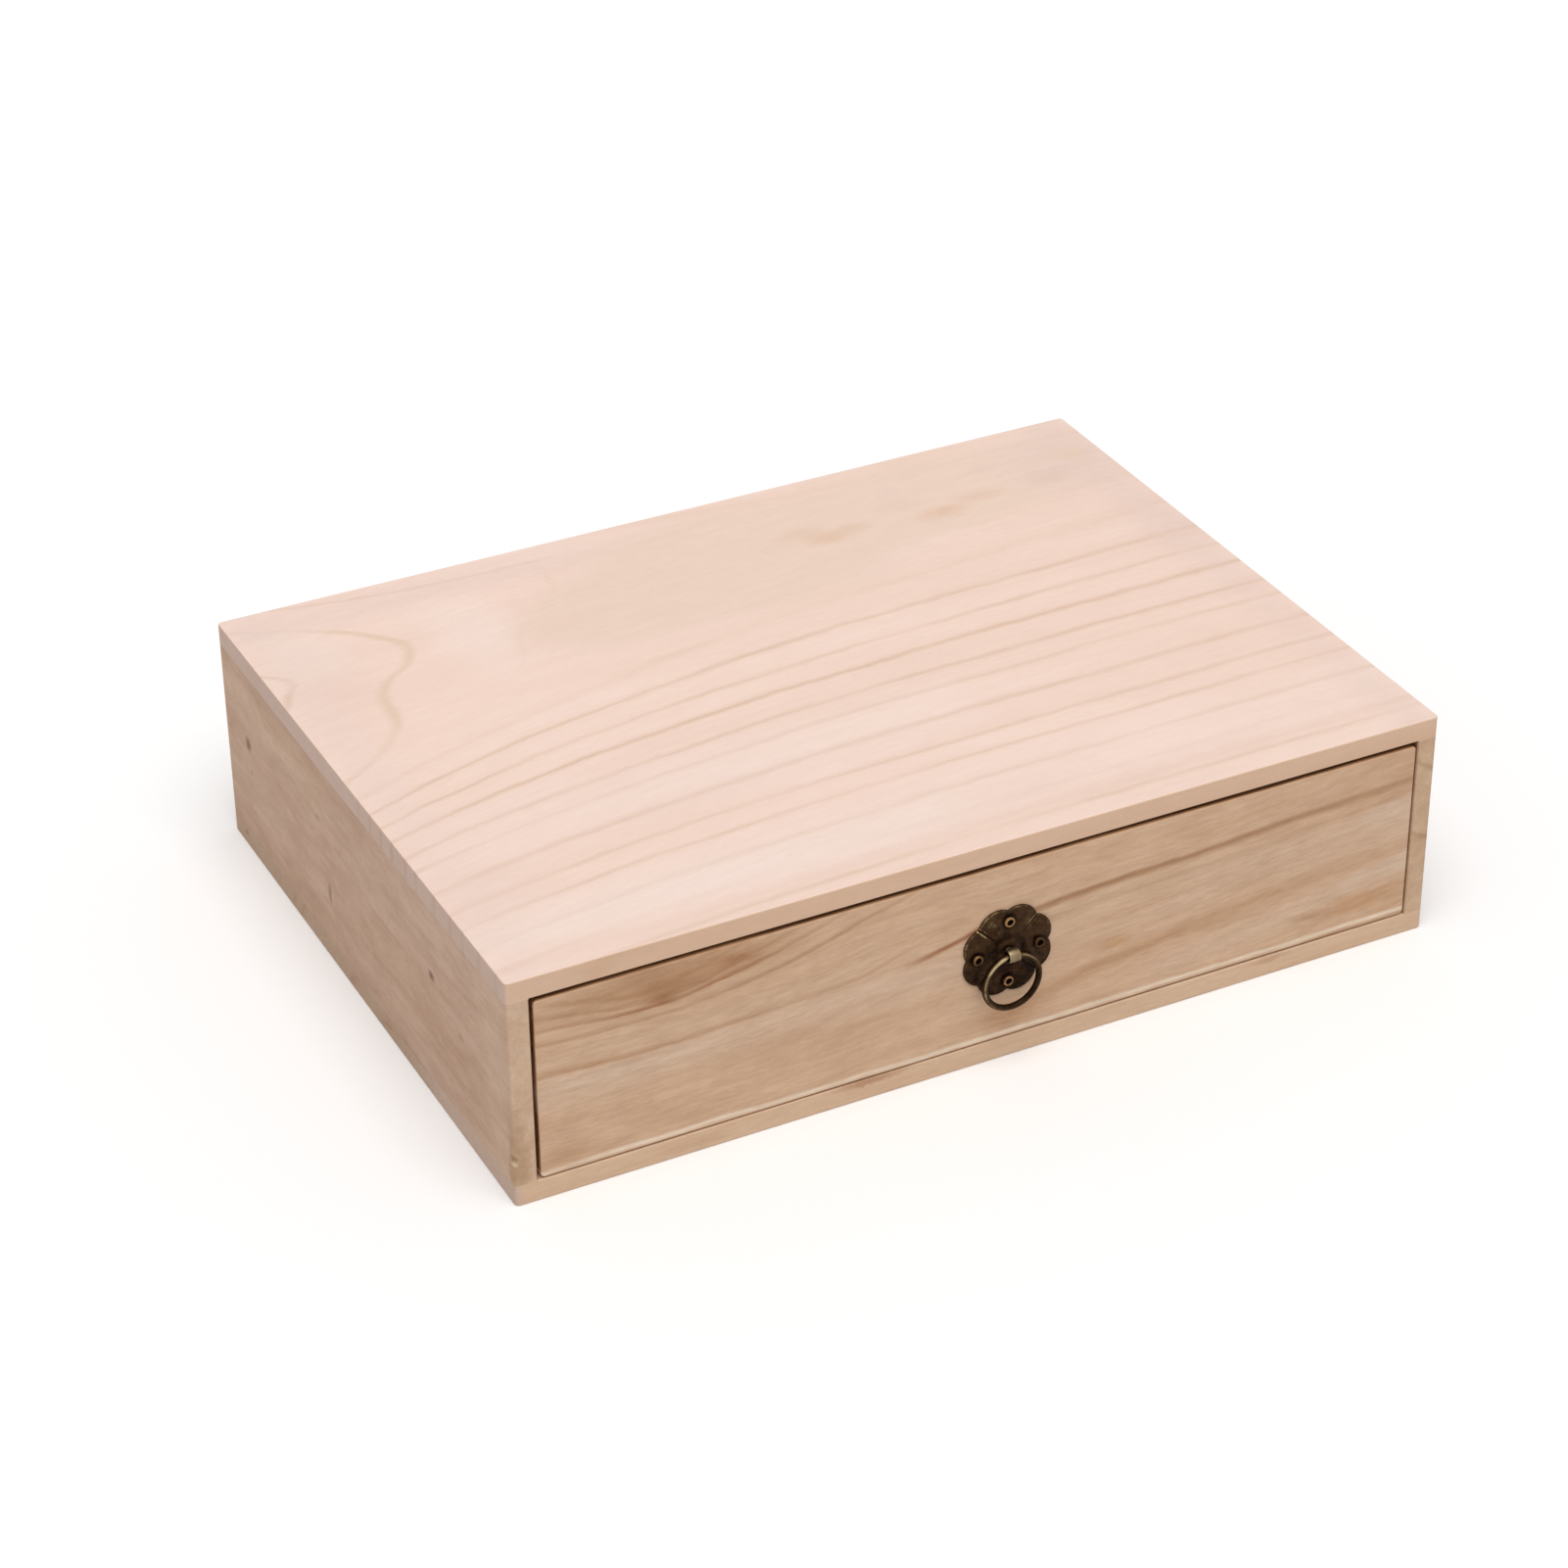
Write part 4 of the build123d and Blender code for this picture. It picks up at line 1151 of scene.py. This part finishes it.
def post_skins():
    """The eye, and the stem that holds it to the plate.

    The stem is a turned profile, with a collar in front of the plate and a rivet behind it. The eye
    is a band's cross-section, carried once round a circle about the pivot.
    """
    behind = (post_high.y - pull_centre.y) / MM
    foot = PLATE_THICKNESS + BOSS_HEIGHT
    stem = turned(
        [
            (0, foot + 0.7, 0), (1.3, foot + 0.7, 0), (1.5, foot + 0.2, 0.2), (1.62, foot + 0.06, 0.3),
            (1.62, foot, 0.2), (1.1, foot, 0), (1.1, 0, 0), (1.9, 0, 0), (1.9, 0.25 - behind, 0),
            (1.6, -behind, 0), (0, -behind, 0),
        ],
        steps=STEPS_ROUND_STEM,
    )
    # Cross-section of the band: a flat oblong with rounded corners and a slightly crowned outside
    half_width = EYE_WIDTH / 2 - BAND_ROUNDING
    half_wall = EYE_WALL / 2 - BAND_ROUNDING
    steps = 4 * STEPS_IN_A_CORNER
    turn = np.linspace(0, 2 * pi, steps, endpoint=False) + pi / steps
    side = half_width * np.sign(np.cos(turn)) + BAND_ROUNDING * np.cos(turn)
    wall = half_wall * np.sign(np.sin(turn)) + BAND_ROUNDING * np.sin(turn)
    corners = np.split(np.stack([side, wall]), 4, axis=1)
    spread = np.linspace(-half_width, half_width, STEPS_ACROSS_BAND)[1:-1]
    outside = np.stack([spread[::-1], 0 * spread + EYE_WALL / 2])
    inside = np.stack([spread, 0 * spread - EYE_WALL / 2])
    outline = [corners[0], outside, corners[1], corners[2], inside, corners[3]]
    side, wall = np.concatenate(outline, axis=1)
    crown = np.where(wall > 0, -BAND_CROWN * (side / (EYE_WIDTH / 2)) ** 2, 0)
    round_eye = np.linspace(0, 2 * pi, STEPS_ROUND_EYE, endpoint=False)[:, None]
    reach = EYE_RADIUS - EYE_WALL / 2 + (wall + crown)[None, :]
    u = side[None, :] + 0 * round_eye
    v = reach * np.sin(round_eye)
    w = PIVOT_OUT + reach * np.cos(round_eye)
    ends = smooth(np.abs(side), EYE_WIDTH / 2 - 0.7, EYE_WIDTH / 2)
    wear_and_painted_light = np.where(wall > 0, 0.7 + 0.05 * ends, 0.0)[None, :] + 0 * round_eye
    return [stem, skin(on_drawer(u, v, w), wear_and_painted_light, wrap_rows=True)]


def ring_skins():
    """The ring: the wire's circle carried round a larger circle that hangs from the pivot.

    The angle round the ring starts at the eye and grows to the right. The angle round the wire starts
    on its outer side and grows towards the front. The ring is rubbed bright along its front, with a
    painted highlight most beside the eye and down the left, and is dark below, but for a painted
    reflection of the floor along its outer side there.
    """
    circle = np.linspace(-pi, pi, STEPS_ROUND_RING, endpoint=False)[:, None]
    wire = np.linspace(-pi, pi, STEPS_ROUND_WIRE, endpoint=False)[None, :]
    radius = RING_RADIUS + WIRE_RADIUS * np.cos(wire)
    u = radius * np.sin(circle)
    v = radius * np.cos(circle) - RING_RADIUS
    w = PIVOT_OUT + WIRE_RADIUS * np.sin(wire) + 0 * circle
    # Rubbed front of the wire, with a painted highlight beside the eye, down the left and at the upper
    # right; the last term is a painted highlight only
    rubbed = (
        near(circle, -0.65, 0.5)
        + 0.5 * near(circle, -1.7, 0.8)
        + 0.6 * near(circle, 0.6, 0.45)
        + 0.5 * near(circle, -0.38, 0.2)
    )
    # Painted reflection of the floor: the outer side of the wire is paler below
    below = near(np.abs(circle), pi, 1.1)
    wear_and_painted_light = (
        0.15
        + (0.25 + 0.7 * rubbed) * near(wire, radians(68), radians(30))
        + 0.5 * below * near(wire, radians(10), radians(35))
    )
    return [skin(on_drawer(u, v, w), wear_and_painted_light, wrap_rows=True)]


make_piece("flower_backplate", [flower_plate()], plate_bronze, "drawer", "pull_backplate")
make_piece("rolled_head_screws", screw_skins(), screw_brass, "drawer", "pull_screws")
make_piece("ring_eye", post_skins(), eye_bronze_painted_highlight, "drawer", "pull_post")
make_piece("wire_ring", ring_skins(), ring_bronze, "ring", "pull_ring")


# Stage: a pale floor, a soft sun and an even sky
def seen_directly(tree):
    """1 where the camera, a mirror or a glass looks at the stage, and 0 where it only lights the wood."""
    path = add(tree, "ShaderNodeLightPath")
    seen = add(
        tree,
        "ShaderNodeMath",
        {0: path.outputs["Is Camera Ray"], 1: path.outputs["Is Glossy Ray"]},
        operation="MAXIMUM",
    )
    return add(
        tree,
        "ShaderNodeMath",
        {0: seen, 1: path.outputs["Is Transmission Ray"]},
        operation="MAXIMUM",
    )


def studio_floor():
    """A matt floor: white where it is looked at, and pale grey where it throws light on the wood."""
    material, tree = start_material("matt_white_floor")
    tone = add(
        tree,
        "ShaderNodeMix",
        {0: seen_directly(tree), 1: colour("d8d8d8"), 2: colour("ffffff")},
        data_type="RGBA",
    )
    shader = add(tree, "ShaderNodeBsdfDiffuse", {"Color": tone})
    add(tree, "ShaderNodeOutputMaterial", {"Surface": shader})
    return material


FLOOR_HALF = 6.0
floor_corners = [(x * FLOOR_HALF, y * FLOOR_HALF, 0) for x, y in ((-1, -1), (1, -1), (1, 1), (-1, 1))]
floor_mesh = bpy.data.meshes.new("floor")
floor_mesh.from_pydata(floor_corners, [], [(0, 1, 2, 3)])
floor_mesh.materials.append(studio_floor())
floor = bpy.data.objects.new("floor", floor_mesh)
bpy.context.scene.collection.objects.link(floor)

SKY_STRENGTH = 0.5
world = bpy.data.worlds.new("studio")
bpy.context.scene.world = world
world.use_nodes = True
world.node_tree.nodes.clear()
strength = add(
    world.node_tree,
    "ShaderNodeMapRange",
    {"Value": seen_directly(world.node_tree), "To Min": SKY_STRENGTH, "To Max": 1.0},
)
background = add(
    world.node_tree,
    "ShaderNodeBackground",
    {"Color": colour("ffffff"), "Strength": strength},
)
add(world.node_tree, "ShaderNodeOutputWorld", {"Surface": background})

# One large soft lamp, above and a little to the front left
TOWARDS_LAMP = Vector((-0.12, -0.34, 1.0))
key = bpy.data.lights.new("key", "SUN")
key.energy = 1.75
key.angle = radians(50)
sun = bpy.data.objects.new("key", key)
sun.rotation_mode = "QUATERNION"
sun.rotation_quaternion = TOWARDS_LAMP.to_track_quat("Z", "Y")
bpy.context.scene.collection.objects.link(sun)

# Camera: the photograph's place, aim, roll and lens
camera_data = bpy.data.cameras.new("camera")
camera_data.sensor_width = 36.0
camera_data.lens = 93.32
camera_data.clip_start = 0.05
camera_data.clip_end = 50.0
CAMERA_PLACE = (-0.53073752, -1.03566250, 0.75926620)
CAMERA_AIM = Vector((0.38064666, 0.75965498, -0.52728781))
CAMERA_ROLL = Quaternion((0, 0, 1), radians(-0.5512))
camera = bpy.data.objects.new("camera", camera_data)
camera.location = CAMERA_PLACE
camera.rotation_mode = "QUATERNION"
camera.rotation_quaternion = CAMERA_AIM.to_track_quat("-Z", "Y") @ CAMERA_ROLL
bpy.context.scene.collection.objects.link(camera)
bpy.context.scene.camera = camera
bpy.context.scene.view_settings.view_transform = "Standard"
